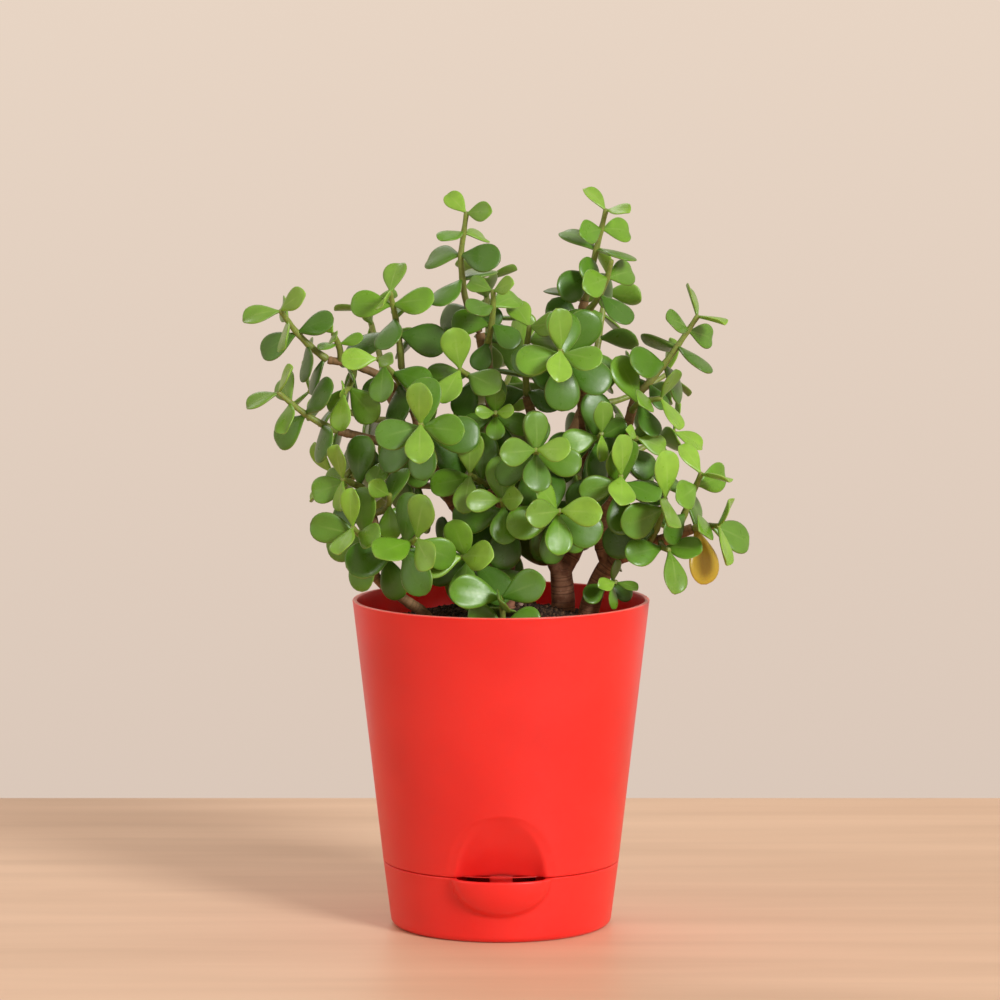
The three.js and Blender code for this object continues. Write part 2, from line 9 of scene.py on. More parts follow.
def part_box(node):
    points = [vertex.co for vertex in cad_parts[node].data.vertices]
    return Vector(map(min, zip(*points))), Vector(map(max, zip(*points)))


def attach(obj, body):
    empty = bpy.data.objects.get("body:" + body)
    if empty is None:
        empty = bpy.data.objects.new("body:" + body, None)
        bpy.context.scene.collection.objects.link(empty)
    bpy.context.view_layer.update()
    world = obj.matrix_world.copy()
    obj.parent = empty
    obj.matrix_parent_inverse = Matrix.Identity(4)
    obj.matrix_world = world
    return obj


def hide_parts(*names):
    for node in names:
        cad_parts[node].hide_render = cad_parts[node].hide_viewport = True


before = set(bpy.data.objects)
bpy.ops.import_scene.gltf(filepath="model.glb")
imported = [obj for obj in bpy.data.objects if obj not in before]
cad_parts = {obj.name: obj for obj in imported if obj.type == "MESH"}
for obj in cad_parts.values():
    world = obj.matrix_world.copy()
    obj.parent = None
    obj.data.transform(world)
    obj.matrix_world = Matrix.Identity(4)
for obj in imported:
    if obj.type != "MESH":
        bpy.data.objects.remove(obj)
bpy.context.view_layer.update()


# ---- Reservoir base ----
# The pot's lower part, a red polypropylene tray that holds the water. It is injection moulded in
# one shot, with a rounded foot and a scoop bulging out of its front to pour the water in.
MM = 0.001
base_low, base_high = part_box("reservoir_base")
planter_low, planter_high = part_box("planter")
seam_z = base_high.z
seam_radius = base_high.x
rim_z = planter_high.z
rim_radius = planter_high.x
foot_radius = 42.2 * MM
foot_corner = 3.0 * MM
wall = 1.8 * MM
base_floor = 2.2 * MM
edge_round = 0.5 * MM
scoop_half_width = 18.6 * MM
scoop_reach = 10 * MM
scoop_depth = 15 * MM
scoop_middle = math.sqrt(seam_radius**2 - scoop_half_width**2)
scoop_blend = 1.6 * MM
underside_ring = 6 * MM


def add(tree, kind, inputs=None, **settings):
    """One node of a tree, with its settings, and its inputs linked or set."""
    made = tree.nodes.new(kind)
    for key, value in settings.items():
        setattr(made, key, value)
    for key, value in (inputs or {}).items():
        if isinstance(value, bpy.types.NodeSocket):
            tree.links.new(value, made.inputs[key])
        else:
            made.inputs[key].default_value = value
    return made


def geo_out(tree, kind, inputs=None, **settings):
    """The first output of a new geometry node."""
    return add(tree, "GeometryNode" + kind, inputs, **settings).outputs[0]


def shade_out(tree, kind, inputs=None, **settings):
    """The first output of a new shader node."""
    return add(tree, "ShaderNode" + kind, inputs, **settings).outputs[0]


def object_place(tree):
    return add(tree, "ShaderNodeTexCoord").outputs["Object"]


def new_material(name, **principled):
    """A material, its tree and its Principled node, with the values that are the same all over."""
    material = bpy.data.materials.new(name)
    material.use_nodes = True
    tree = material.node_tree
    shader = tree.nodes["Principled BSDF"]
    for key, value in principled.items():
        shader.inputs[key.replace("_", " ")].default_value = value
    return material, tree, shader


def object_noise(tree, scale, detail=3.0, stretch=(1, 1, 1), distortion=0.0):
    """Noise on the object's own coordinates. scale is in features to the metre."""
    turned = shade_out(tree, "Mapping", {"Vector": object_place(tree), "Scale": stretch})
    return shade_out(
        tree, "TexNoise",
        {"Vector": turned, "Scale": scale, "Detail": detail, "Distortion": distortion}
    )


def ranged(tree, value, low, high, to_low=0.0, to_high=1.0, smooth=False):
    """value from low to high, as to_low to to_high."""
    return shade_out(
        tree, "MapRange",
        {"Value": value, "From Min": low, "From Max": high, "To Min": to_low, "To Max": to_high},
        interpolation_type="SMOOTHSTEP" if smooth else "LINEAR"
    )


def mixed(tree, share, first, second, blend="MIX"):
    """Two colours mixed. Each is a socket or three numbers."""
    made = add(tree, "ShaderNodeMix", {0: share}, data_type="RGBA", blend_type=blend)
    for index, color in ((6, first), (7, second)):
        if isinstance(color, bpy.types.NodeSocket):
            tree.links.new(color, made.inputs[index])
        else:
            made.inputs[index].default_value = (*color, 1)
    return made.outputs[2]


def tinted(tree, color, tint, value, *span):
    """color, turning to tint as value runs through a span."""
    return mixed(tree, ranged(tree, value, *span), color, tint)


def painted(tree, shader, color, roughness):
    tree.links.new(color, shader.inputs["Base Color"])
    tree.links.new(roughness, shader.inputs["Roughness"])


def bumped(tree, shader, height, distance, strength=1.0):
    bump = add(
        tree, "ShaderNodeBump", {"Height": height, "Distance": distance, "Strength": strength}
    )
    tree.links.new(bump.outputs["Normal"], shader.inputs["Normal"])


def pot_plastic():
    """Red polypropylene with a satin skin, with a painted highlight along its thin top edge where
    light shines in.
    """
    material, tree, shader = new_material(
        "pot_plastic", Specular_IOR_Level=0.45, Subsurface_Weight=0.75, Subsurface_Scale=0.0034
    )
    shader.inputs["Subsurface Radius"].default_value = (1.0, 0.2, 0.12)
    cloud = object_noise(tree, 22, 2)
    color = mixed(tree, ranged(tree, cloud, 0.35, 0.65), (0.76, 0.019, 0.015), (0.84, 0.026, 0.020))
    # Painted highlight: the colour turns paler pink over the top half millimetre of the rim, for
    # light shining in through the thin wall.
    height = add(tree, "ShaderNodeSeparateXYZ", {"Vector": object_place(tree)}).outputs["Z"]
    edge = ranged(tree, height, rim_z - 0.5 * MM, rim_z, 0, 0.55, smooth=True)
    color = mixed(tree, edge, color, (0.92, 0.30, 0.25))
    flow = object_noise(tree, 55, 3, (1, 1, 0.35), 0.6)
    painted(tree, shader, color, ranged(tree, flow, 0.3, 0.7, 0.33, 0.43))
    bumped(tree, shader, object_noise(tree, 2400, 2), 0.02 * MM, 0.35)
    return material


pot_red = pot_plastic()


def placed(name, data):
    """A new object in the scene."""
    made = bpy.data.objects.new(name, data)
    bpy.context.scene.collection.objects.link(made)
    return made


def mesh_object(name, vertices, faces, material=None):
    mesh = bpy.data.meshes.new(name)
    mesh.from_pydata([tuple(v) for v in vertices], [], faces)
    mesh.update()
    made = placed(name, mesh)
    if material:
        mesh.materials.append(material)
    for face in mesh.polygons:
        face.use_smooth = True
    return made


def capped_faces(around, rows):
    """Faces over rows of points, with a pole before the first row and after the last."""
    last = 1 + around * rows
    faces = []
    for k in range(around):
        n = (k + 1) % around
        faces.append((0, 1 + k, 1 + n))
        for j in range(rows - 1):
            a, b = 1 + j * around, 1 + (j + 1) * around
            faces.append((a + k, b + k, b + n, a + n))
        end = last - around
        faces.append((end + k, last, end + n))
    return faces


def faced_out(made):
    """made, with the faces of its closed mesh turned outwards."""
    shell = bmesh.new()
    shell.from_mesh(made.data)
    bmesh.ops.recalc_face_normals(shell, faces=shell.faces)
    shell.to_mesh(made.data)
    shell.free()
    return made


def lathed(name, rows, material, count=288):
    """A closed shell from rows of (radius, or its rule, and height). First and last are poles."""
    angles = [2 * math.pi * k / count for k in range(count)]
    vertices = [(0, 0, rows[0][1])]
    for radius_at, height in rows[1:-1]:
        for angle in angles:
            radius = radius_at(angle, height) if callable(radius_at) else radius_at
            vertices.append((radius * math.sin(angle), -radius * math.cos(angle), height))
    vertices.append((0, 0, rows[-1][1]))
    faces = capped_faces(count, len(rows) - 2)
    return faced_out(mesh_object(name, vertices, faces, material))


def soft_larger(a, b, blend):
    return max(a, b) + max(blend - abs(a - b), 0) ** 2 / (4 * blend)


def base_cone(height):
    return foot_radius + (seam_radius - foot_radius) * height / seam_z


def scoop_far(angle, height, skin):
    """Where a ray out of the axis leaves the scoop's ellipsoid, or 0 where it misses."""
    a, b, c = scoop_half_width + skin, scoop_reach + skin, scoop_depth + skin
    s, t = math.sin(angle), math.cos(angle)
    square = (s / a) ** 2 + (t / b) ** 2
    line = -2 * t * scoop_middle / b**2
    rest = (scoop_middle / b) ** 2 + ((height - seam_z) / c) ** 2 - 1
    under = line**2 - 4 * square * rest
    return (-line + math.sqrt(under)) / (2 * square) if under > 0 and t > 0 else 0


def base_outside(angle, height):
    return soft_larger(base_cone(height), scoop_far(angle, height, 0), scoop_blend)


def base_inside(angle, height):
    return soft_larger(base_cone(height) - wall, scoop_far(angle, height, -wall), scoop_blend)


def set_in(surface, at_height, inset):
    """The radius at one fixed height of a surface, less an inset: for rounded edges."""
    return lambda angle, height: surface(angle, at_height) - inset


def rounded_top(outside, inside, top, radius, steps=4):
    """Rows over a wall's top edge, rounded on both sides."""
    rows = []
    for k in range(steps + 1):
        turn = math.pi / 2 * k / steps
        height = top - radius + radius * math.sin(turn)
        rows.append((set_in(outside, top, radius * (1 - math.cos(turn))), height))
    for k in range(steps + 1):
        turn = math.pi / 2 * (1 - k / steps)
        height = top - radius + radius * math.sin(turn)
        rows.append((set_in(inside, top, -radius * (1 - math.cos(turn))), height))
    return rows


def heights(low, high, step):
    count = max(1, round((high - low) / step))
    return [low + (high - low) * k / count for k in range(count + 1)]


def rows_up(surface, low, high, step):
    return [(surface, height) for height in heights(low, high, step)]


foot_rows = []
for k in range(7):
    turn = math.pi / 2 * k / 6
    side = base_cone(foot_corner) - foot_corner + foot_corner * math.sin(turn)
    foot_rows.append((side, foot_corner * (1 - math.cos(turn))))
sunk = 0.4 * MM  # the middle of the underside stands clear of the table
base_rows = [
    (None, sunk), (foot_radius / 2, sunk), (foot_radius - underside_ring, sunk),
    (foot_radius - underside_ring + sunk, 0), *foot_rows,
    *rows_up(base_outside, foot_corner + 0.8 * MM, seam_z - edge_round - 0.3 * MM, 0.8 * MM),
    *rounded_top(base_outside, base_inside, seam_z, edge_round),
    *rows_up(base_inside, base_floor + MM, seam_z - edge_round - 0.3 * MM, MM)[::-1],
    (base_cone(base_floor) - wall - MM, base_floor), (foot_radius / 2, base_floor),
    (None, base_floor)
]
reservoir_tray = lathed("reservoir_tray", base_rows, pot_red)
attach(reservoir_tray, "root")
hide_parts("reservoir_base")


# ---- Planter ----
# The tapered upper pot, of the same red plastic. A skirt under it seats it in the tray, a soak
# cup stands down in the water, and its front is pressed in over the scoop to make a pouring mouth.
planter_under = planter_low.z
seat_gap = 0.3 * MM
shell_under = seam_z + seat_gap
floor_thick = 2.2 * MM
dent_half_width = 16.8 * MM
dent_depth = 6.8 * MM
dent_height = 24 * MM
taper = (rim_radius - seam_radius) / (rim_z - seam_z)
skirt_clearance = 0.5 * MM
skirt_depth = 8 * MM
cup_top_radius = 15 * MM
cup_bottom_radius = 11 * MM


def planter_cone(height):
    return seam_radius + taper * (height - seam_z)


def dent_inset(angle, height):
    """How far the pressed front stands in: most at the seam, none at the top of its arch."""
    rise = min(max((height - seam_z) / dent_height, 0), 1)
    half = dent_half_width * math.sqrt(1 - rise**2)
    aside = abs(planter_cone(height) * math.sin(angle))
    if math.cos(angle) <= 0 or aside > half + 3 * MM or half < 0.1 * MM:
        return 0.0
    bowl = max(1 - (aside / half) ** 2, 0) ** (0.5 + 0.4 * rise) * (1 - rise) ** 0.85
    rounded = dent_depth * bowl + 0.4 * MM * (1 - aside / half)
    blend = (1.1 + 0.8 * rise) * MM
    return soft_larger(rounded, 0, blend) if rounded > -blend else 0.0


def planter_outside(angle, height):
    return planter_cone(height) - dent_inset(angle, height)


def planter_inside(angle, height):
    return planter_outside(angle, height) - wall


planter_floor = shell_under + floor_thick
planter_rows = [
    (None, shell_under), (cup_top_radius, shell_under),
    (planter_outside(0, shell_under) - MM, shell_under),
    (set_in(planter_outside, shell_under, 0.25 * MM), shell_under),
    (set_in(planter_outside, shell_under, 0.07 * MM), shell_under + 0.08 * MM),
    *rows_up(planter_outside, shell_under + 0.25 * MM, shell_under + 30 * MM, 0.7 * MM),
    *rows_up(planter_outside, shell_under + 32 * MM, rim_z - edge_round - 0.3 * MM, 3 * MM),
    *rounded_top(planter_outside, planter_inside, rim_z, edge_round),
    *rows_up(planter_inside, planter_floor + MM, rim_z - edge_round - 0.3 * MM, 2 * MM)[::-1],
    (set_in(planter_inside, planter_floor, MM), planter_floor), (cup_top_radius, planter_floor),
    (None, planter_floor)
]
planter_shell = lathed("planter_shell", planter_rows, pot_red)


def ring(name, inner, outer, low, high, count=96):
    """A plain upright ring, as rows round a closed loop."""
    loop = [(inner, low), (outer, low), (outer, high), (inner, high)]
    vertices, faces = [], []
    for k in range(count):
        angle = 2 * math.pi * k / count
        vertices += [(r * math.sin(angle), -r * math.cos(angle), z) for r, z in loop]
        for j in range(4):
            n = (k + 1) % count
            faces.append((4 * k + j, 4 * k + (j + 1) % 4, 4 * n + (j + 1) % 4, 4 * n + j))
    return mesh_object(name, vertices, faces, pot_red)


def slab(name, low, high, bevel):
    """A block with rounded edges."""
    size = [b - a for a, b in zip(low, high)]
    middle = [(a + b) / 2 for a, b in zip(low, high)]
    made = mesh_object(name, [], [], pot_red)
    block = bmesh.new()
    bmesh.ops.create_cube(block, size=1)
    for v in block.verts:
        v.co = [m + c * s for m, c, s in zip(middle, v.co, size)]
    bmesh.ops.bevel(
        block, geom=block.edges[:], offset=bevel, segments=3, profile=0.5, affect="EDGES"
    )
    block.to_mesh(made.data)
    block.free()
    for face in made.data.polygons:
        face.use_smooth = True
    return made


def joined(main, *others):
    """Several meshes as one object. Each of them keeps its own closed surface."""
    with bpy.context.temp_override(
        active_object=main, selected_editable_objects=[main, *others],
        selected_objects=[main, *others]
    ):
        bpy.ops.object.join()
    return main


skirt_outside = base_cone(seam_z - skirt_depth) - wall - skirt_clearance
skirt = ring("skirt", skirt_outside - wall, skirt_outside, seam_z - skirt_depth, shell_under)
for vertex in skirt.data.vertices:  # cut away behind the mouth
    if vertex.co.y < 0 and abs(vertex.co.x) < scoop_half_width:
        vertex.co.z = max(vertex.co.z, shell_under - 0.2 * MM)
tongue_front = -(seam_radius - 6.6 * MM) + wall / 4
tongue = slab(
    "tongue", (-4.4 * MM, tongue_front, seam_z - 8 * MM),
    (4.4 * MM, tongue_front + wall, shell_under + MM), 0.5 * MM
)
cup_rows = [
    (None, planter_under), (cup_bottom_radius - edge_round, planter_under),
    (cup_bottom_radius, planter_under + edge_round), (cup_top_radius, shell_under + 0.2 * MM),
    (cup_top_radius - wall, shell_under + 0.2 * MM),
    (cup_bottom_radius - wall, planter_under + wall), (None, planter_under + wall)
]
soak_cup = lathed("soak_cup", cup_rows, pot_red, 48)
joined(planter_shell, skirt, tongue, soak_cup)
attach(planter_shell, "root")
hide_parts("planter")


# ---- Woody stems ----
# Old shoots, each a rooted cutting that has forked. Their thin red-brown bark is ringed where
# pairs of leaves dropped, and it is dotted with pale pores. They stand rooted in the soil.
root_depth = 26
samples_per_span = 2
rim_mm = rim_z / MM


def stem_arm(places, start_radius, end_radius):
    """A smooth path through chosen places, in millimetres, with heights above the pot's rim."""
    points = [np.array([x, y, rim_mm + z], float) for x, y, z in places]
    return {
        "points": points, "radii": (start_radius, end_radius),
        "path": stem_path(points, samples_per_span)
    }


def stem_path(points, samples):
    ends = [2 * points[0] - points[1], *points, 2 * points[-1] - points[-2]]
    steps = samples * (len(points) - 1)
    path = []
    for k in range(steps + 1):
        at = (len(points) - 1) * (k / steps)
        span = min(int(math.floor(at)), len(points) - 2)
        t = at - span
        p0, p1, p2, p3 = ends[span : span + 4]
        m1, m2 = 0.5 * (p2 - p0), 0.5 * (p3 - p1)
        cubic = 2 * p1 - 2 * p2 + m1 + m2
        square = -3 * p1 + 3 * p2 - 2 * m1 - m2
        path.append(p1 + m1 * t + square * t**2 + cubic * t**3)
    return path


main_trunk = stem_arm([(24, 12, -root_depth), (24, 12, -3), (23, 10, 11)], 5, 4.2)
main_left = stem_arm([(23, 10, 8), (18, 8, 20), (13, 4, 38), (14, 2, 58), (10, 0, 78)], 3.4, 1.8)
main_right = stem_arm(
    [(23, 10, 8), (30, 12, 22), (34, 14, 44), (32, 13, 70), (29, 10, 98), (32, 8, 114)], 3.5, 1.7
)
right_trunk = stem_arm(
    [(32, 1, -root_depth), (34, 2, -4), (41, 0, 13), (51, -3, 19), (61, -6, 23), (73, -8, 28)], 4.4,
    2
)
right_arm = stem_arm(
    [(41, 0, 12), (38, -2, 26), (43, -4, 46), (48, -5, 66), (51, -6, 78)], 2.8, 1.7
)
middle_trunk = stem_arm(
    [(2, -2, -root_depth), (2, -3, -4), (2, -4, 28), (-1, -3, 56), (-5, -1, 84), (-8, 1, 102)], 3.8,
    1.8
)
left_trunk = stem_arm(
    [(-11, 8, -root_depth), (-11, 7, -5), (-13, 4, 26), (-22, 2, 43), (-31, 2, 66), (-38, 2, 88)],
    3.3, 1.8
)
left_arm = stem_arm([(-24, 2, 48), (-36, -1, 57), (-50, -4, 62), (-62, -5, 65)], 2, 1.5)
left_twig = stem_arm([(-33, 2, 72), (-44, 1, 84), (-56, -1, 90), (-66, -2, 92)], 1.8, 1.4)
low_trunk = stem_arm(
    [
        (-24, -12, -root_depth), (-27, -14, -7), (-38, -18, 3), (-48, -20, 12), (-47, -18, 26),
        (-52, -15, 44)
    ],
    2.3, 1.6
)
back_trunk = stem_arm(
    [(2, 26, -root_depth), (2, 27, -6), (0, 33, 22), (-4, 38, 48), (-4, 40, 76)], 3.8, 1.8
)
back_right = stem_arm([(0, 33, 22), (14, 40, 40), (28, 45, 60), (36, 46, 82)], 2.6, 1.7)
back_left = stem_arm([(0, 33, 20), (-18, 38, 36), (-34, 42, 54), (-44, 42, 76)], 2.6, 1.7)

woody_stems = {
    "stem_main": [main_trunk, main_left, main_right], "stem_right": [right_trunk, right_arm],
    "stem_middle": [middle_trunk], "stem_left": [left_trunk, left_arm, left_twig],
    "stem_low_left": [low_trunk], "stem_back": [back_trunk, back_right, back_left]
}


def attribute(tree, name):
    return add(tree, "ShaderNodeAttribute", attribute_name=name).outputs["Fac"]


def stem_bark():
    """Thin bark: red-brown, greyer with age, with darker rings and small pale pores."""
    material, tree, shader = new_material("stem_bark", Specular_IOR_Level=0.3)
    along = attribute(tree, "along")
    rings = shade_out(
        tree, "TexNoise", {"W": along, "Scale": 900.0, "Detail": 4.0}, noise_dimensions="1D"
    )
    patches = object_noise(tree, 260, 4, distortion=0.4)
    color = mixed(
        tree, ranged(tree, patches, 0.35, 0.68), (0.230, 0.088, 0.044), (0.500, 0.235, 0.130)
    )
    color = tinted(tree, color, (0.055, 0.022, 0.014), rings, 0.5, 0.66, 0, 0.55, True)
    pores = shade_out(tree, "TexVoronoi", {"Vector": object_place(tree), "Scale": 620.0})
    color = tinted(tree, color, (0.42, 0.25, 0.16), pores, 0.10, 0.2, 0.75, 0, True)
    young = ranged(tree, attribute(tree, "thick"), 1.9 * MM, 2.8 * MM, 0.55, 0, True)
    color = mixed(tree, young, color, (0.21, 0.16, 0.06))
    painted(tree, shader, color, ranged(tree, patches, 0.3, 0.7, 0.55, 0.8))
    fine = object_noise(tree, 1500, 5, (1, 1, 2.2))
    bumped(tree, shader, fine, 0.25 * MM, 0.8)
    return material


def new_tree(name, sockets):
    """A geometry tree with named inputs after its geometry. Gives the tree and both of its ends."""
    tree = bpy.data.node_groups.new(name, "GeometryNodeTree")
    tree.interface.new_socket("Geometry", in_out="INPUT", socket_type="NodeSocketGeometry")
    for label, kind, value in sockets:
        socket = tree.interface.new_socket(label, in_out="INPUT", socket_type="NodeSocket" + kind)
        if value is not None:
            socket.default_value = value
    tree.interface.new_socket("Geometry", in_out="OUTPUT", socket_type="NodeSocketGeometry")
    return tree, add(tree, "NodeGroupInput"), add(tree, "NodeGroupOutput")


def grown(source, tree, values, name):
    """source through the tree, as a plain mesh object with that name. source is removed."""
    modifier = source.modifiers.new("grow", "NODES")
    modifier.node_group = tree
    for socket in tree.interface.items_tree:
        if socket.name in values:
            modifier[socket.identifier] = values[socket.name]
    graph = bpy.context.evaluated_depsgraph_get()
    mesh = bpy.data.meshes.new_from_object(source.evaluated_get(graph), depsgraph=graph)
    mesh.name = name
    bpy.data.objects.remove(source)
    for face in mesh.polygons:
        face.use_smooth = True
    return placed(name, mesh)


def named(tree, name, kind="FLOAT"):
    made = add(tree, "GeometryNodeInputNamedAttribute", {"Name": name}, data_type=kind)
    return made.outputs["Attribute"]


def stored(tree, geometry, name, value, kind="FLOAT"):
    return geo_out(
        tree, "StoreNamedAttribute", {"Geometry": geometry, "Name": name, "Value": value},
        data_type=kind, domain="POINT"
    )


def calc(tree, operation, first, second=0.0, third=0.0):
    values = {0: first, 1: second, 2: third}
    return shade_out(tree, "Math", values, operation=operation)


def scaled_vector(tree, vector, factor):
    return shade_out(tree, "VectorMath", {0: vector, "Scale": factor}, operation="SCALE")


def swept(tree, curve, sides):
    """The curve as a capped tube, its radius from the points' thickness."""
    section = geo_out(tree, "CurvePrimitiveCircle", {"Resolution": sides, "Radius": 1.0})
    given = {"Curve": curve, "Profile Curve": section, "Scale": named(tree, "thick")}
    return geo_out(tree, "CurveToMesh", {**given, "Fill Caps": True})


def coated(tree, geometry, material):
    return geo_out(tree, "SetMaterial", {"Geometry": geometry, "Material": material})


def bark_tree():
    """Sweeps each path into a stem with a ring at every old leaf pair, and roughens its bark."""
    tree, start, end = new_tree(
        "bark_stem",
        [
            ("Sides", "Int", 20), ("Step", "Float", 0.9 * MM), ("Ring Spacing", "Float", 7.5 * MM),
            ("Ring Height", "Float", 0.28 * MM), ("Roughness Height", "Float", 0.55 * MM),
            ("Bark", "Material", None)
        ]
    )
    given = start.outputs
    curve = geo_out(tree, "MeshToCurve", {"Mesh": given["Geometry"]})
    curve = geo_out(tree, "ResampleCurve", {"Curve": curve, "Length": given["Step"]}, mode="LENGTH")
    curve = stored(tree, curve, "along", add(tree, "GeometryNodeSplineParameter").outputs["Length"])
    stem = swept(tree, curve, given["Sides"])
    along = named(tree, "along")
    wander = shade_out(
        tree, "TexNoise", {"W": along, "Scale": 45.0, "Detail": 1.0}, noise_dimensions="1D"
    )
    turn = calc(tree, "DIVIDE", along, given["Ring Spacing"])
    turn = calc(tree, "MULTIPLY_ADD", wander, 2.2, turn)
    wave = calc(tree, "PINGPONG", turn, 0.5)
    peak = calc(tree, "POWER", calc(tree, "MULTIPLY", wave, 2.0), 9.0)
    lumps = shade_out(tree, "TexNoise", {"Scale": 210.0, "Detail": 4.0, "Roughness": 0.6})
    lumps = calc(tree, "SUBTRACT", lumps, 0.5)
    height = calc(tree, "MULTIPLY", peak, given["Ring Height"])
    height = calc(tree, "MULTIPLY_ADD", lumps, given["Roughness Height"], height)
    moved = geo_out(
        tree, "SetPosition",
        {"Geometry": stem, "Offset": scaled_vector(tree, geo_out(tree, "InputNormal"), height)}
    )
    whole = geo_out(tree, "RealizeInstances", {"Geometry": moved})
    tree.links.new(coated(tree, whole, given["Bark"]), end.inputs["Geometry"])
    return tree


def give(mesh, name, values, kind="FLOAT"):
    """An attribute on the mesh's points."""
    slot = "vector" if kind == "FLOAT_VECTOR" else "value"
    mesh.attributes.new(name, kind, "POINT").data.foreach_set(slot, values)


def path_mesh(name, paths):
    """Edges along several paths, in metres, each point with its thickness."""
    vertices, edges, thick = [], [], []
    for path, radii in paths:
        first = len(vertices)
        vertices += [tuple(p * MM) for p in path]
        thick += [r * MM for r in radii]
        edges += [(first + k, first + k + 1) for k in range(len(path) - 1)]
    mesh = bpy.data.meshes.new(name)
    mesh.from_pydata(vertices, edges, [])
    give(mesh, "thick", thick)
    return placed(name, mesh)


bark = stem_bark()
bark_sweep = bark_tree()
fine_samples = 16
for stem_name, arms in woody_stems.items():
    paths = []
    for each in arms:
        path = stem_path(each["points"], fine_samples)
        first, last = each["radii"]
        paths.append((path, np.linspace(first, last, len(path))))
    bark_piece = grown(
        path_mesh(stem_name + "_path", paths), bark_sweep, {"Bark": bark}, stem_name + "_wood"
    )
    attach(bark_piece, "root")
    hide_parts(stem_name)


# ---- Leafy sprigs ----
# This year's green shoots. Each leaves a bud of its woody stem and bears fleshy leaves in opposite
# pairs, each pair a quarter turn from the last. A leaf turns its face to the light as it grows.
leaf_width_share = 0.76
leaf_bend = 0.12
leaf_root_offset = 0.6
sprig_steps = 3
sprig_radii = (1.7, 1.1)
leaf_clearance = 0.4
wall_mm = wall / MM
rim_radius_mm = rim_radius / MM
soil_middle_drop = 3
soil_edge_drop = 12

UP = np.array([0.0, 0.0, 1.0])
RIGHT = np.array([1.0, 0.0, 0.0])
FRONT = np.array([0.0, -1.0, 0.0])
CORNER = np.array([1.0, -0.8, 0.0])
sprigs = []
used_buds = set()


def sprig(name, carrier, elbow, tip, first, pairs, spacing, young_leaf, old_leaf):
    """A shoot from the free bud nearest its elbow, curving out to its tip."""
    bend, end = (np.array([x, y, rim_mm + z], float) for x, y, z in (elbow, tip))
    if carrier:
        free = [k for k in range(len(carrier["path"])) if (id(carrier), k) not in used_buds]
        bud = min(free, key=lambda k: math.dist(carrier["path"][k], bend))
        used_buds.add((id(carrier), bud))
        start = carrier["path"][bud]
    else:
        start = np.array([bend[0], bend[1], rim_mm - 20])
    path = []
    for k in range(sprig_steps + 1):
        t = k / sprig_steps
        path.append((1 - t) ** 2 * start + 2 * (1 - t) * t * bend + t**2 * end)
    shoot = {"name": name, "path": path, "first": first, "pairs": pairs, "spacing": spacing}
    sprigs.append({**shoot, "young": young_leaf, "old": old_leaf, "leaves": []})


sprig("front_left_star", left_trunk, (-27, -24, 62), (-30, -48, 72), UP, 4, 5, 16, 21)
sprig("low_left_star", low_trunk, (-37, -30, 22), (-31, -46, 29), UP, 4, 5, 16, 21)
sprig("cross", main_left, (13, -24, 53), (13, -46, 62), RIGHT, 4, 5, 15, 18)
sprig("low_cross", main_left, (20, -22, 30), (22, -44, 39), RIGHT, 4, 5, 15, 19)
sprig("front_star", main_right, (24, -20, 88), (22, -40, 99), UP, 4, 5, 15, 20)
sprig("right_mid", right_arm, (46, -16, 40), (45, -32, 51), UP, 4, 6, 15, 20)
sprig("low_left", low_trunk, (-52, -26, 24), (-56, -36, 32), UP, 4, 5, 15, 20)
sprig("crown_left", left_trunk, (-38, -2, 100), (-42, -14, 119), UP, 6, 5, 13, 20)
sprig("top_middle", middle_trunk, (-20, 0, 120), (-13, -6, 149), CORNER, 7, 7, 11, 17)
sprig("middle_top", middle_trunk, (-2, -12, 106), (-3, -15, 120), CORNER, 5, 6, 12, 17)
sprig("top_right", main_right, (33, 4, 120), (40, -4, 150), CORNER, 6, 7, 12, 18)
sprig("top_right_side", main_right, (40, -6, 116), (42, -12, 131), CORNER, 4, 7, 14, 18)
sprig("right_high", right_arm, (60, -8, 86), (75, -10, 110), CORNER, 7, 6, 13, 18)
sprig("right_upper", right_arm, (50, -14, 78), (61, -20, 79), UP, 4, 5, 14, 19)
sprig("right_low_end", right_trunk, (80, -10, 30), (83, -17, 30), UP, 3, 5, 15, 21)
sprig("right_end", right_trunk, (71, -14, 38), (76, -20, 51), CORNER, 6, 5, 13, 19)
sprig("right_under", right_trunk, (60, -14, 21), (64, -20, 21), UP, 3, 5, 16, 19)
sprig("far_left_top", left_twig, (-76, -2, 98), (-84, -11, 112), RIGHT, 6, 5, 14, 16)
sprig("far_left", left_arm, (-72, -6, 68), (-85, -13, 81), RIGHT, 6, 6, 13, 18)
sprig("left_twig_tip", left_twig, (-60, -4, 97), (-64, -9, 103), FRONT, 3, 5, 8, 12)
sprig("left_low_upper", low_trunk, (-56, -16, 46), (-60, -26, 49), UP, 5, 5, 14, 19)
sprig("left_mid", left_arm, (-54, -10, 52), (-62, -14, 46), UP, 4, 5, 13, 17)
sprig("left_under", low_trunk, (-40, -26, 36), (-42, -32, 44), RIGHT, 4, 5, 14, 18)
sprig("low_middle", middle_trunk, (3, -18, 34), (0, -34, 42), RIGHT, 4, 5, 15, 20)
sprig("low_middle_left", middle_trunk, (-10, -18, 16), (-15, -32, 20), RIGHT, 4, 5, 16, 20)
sprig("middle_left", middle_trunk, (-8, -14, 46), (-12, -28, 51), UP, 4, 5, 15, 20)
sprig("middle", middle_trunk, (-2, -12, 70), (-2, -24, 74), RIGHT, 5, 4, 8, 14)
sprig("middle_right", main_right, (36, -8, 60), (38, -22, 66), UP, 5, 5, 13, 18)
sprig("upper_middle", main_left, (8, -6, 92), (11, -8, 106), CORNER, 5, 5, 14, 18)
sprig("left_dark", left_trunk, (-42, -8, 90), (-47, -17, 94), RIGHT, 4, 5, 14, 19)
sprig("left_inner", left_twig, (-56, -6, 82), (-60, -14, 80), UP, 4, 5, 14, 18)
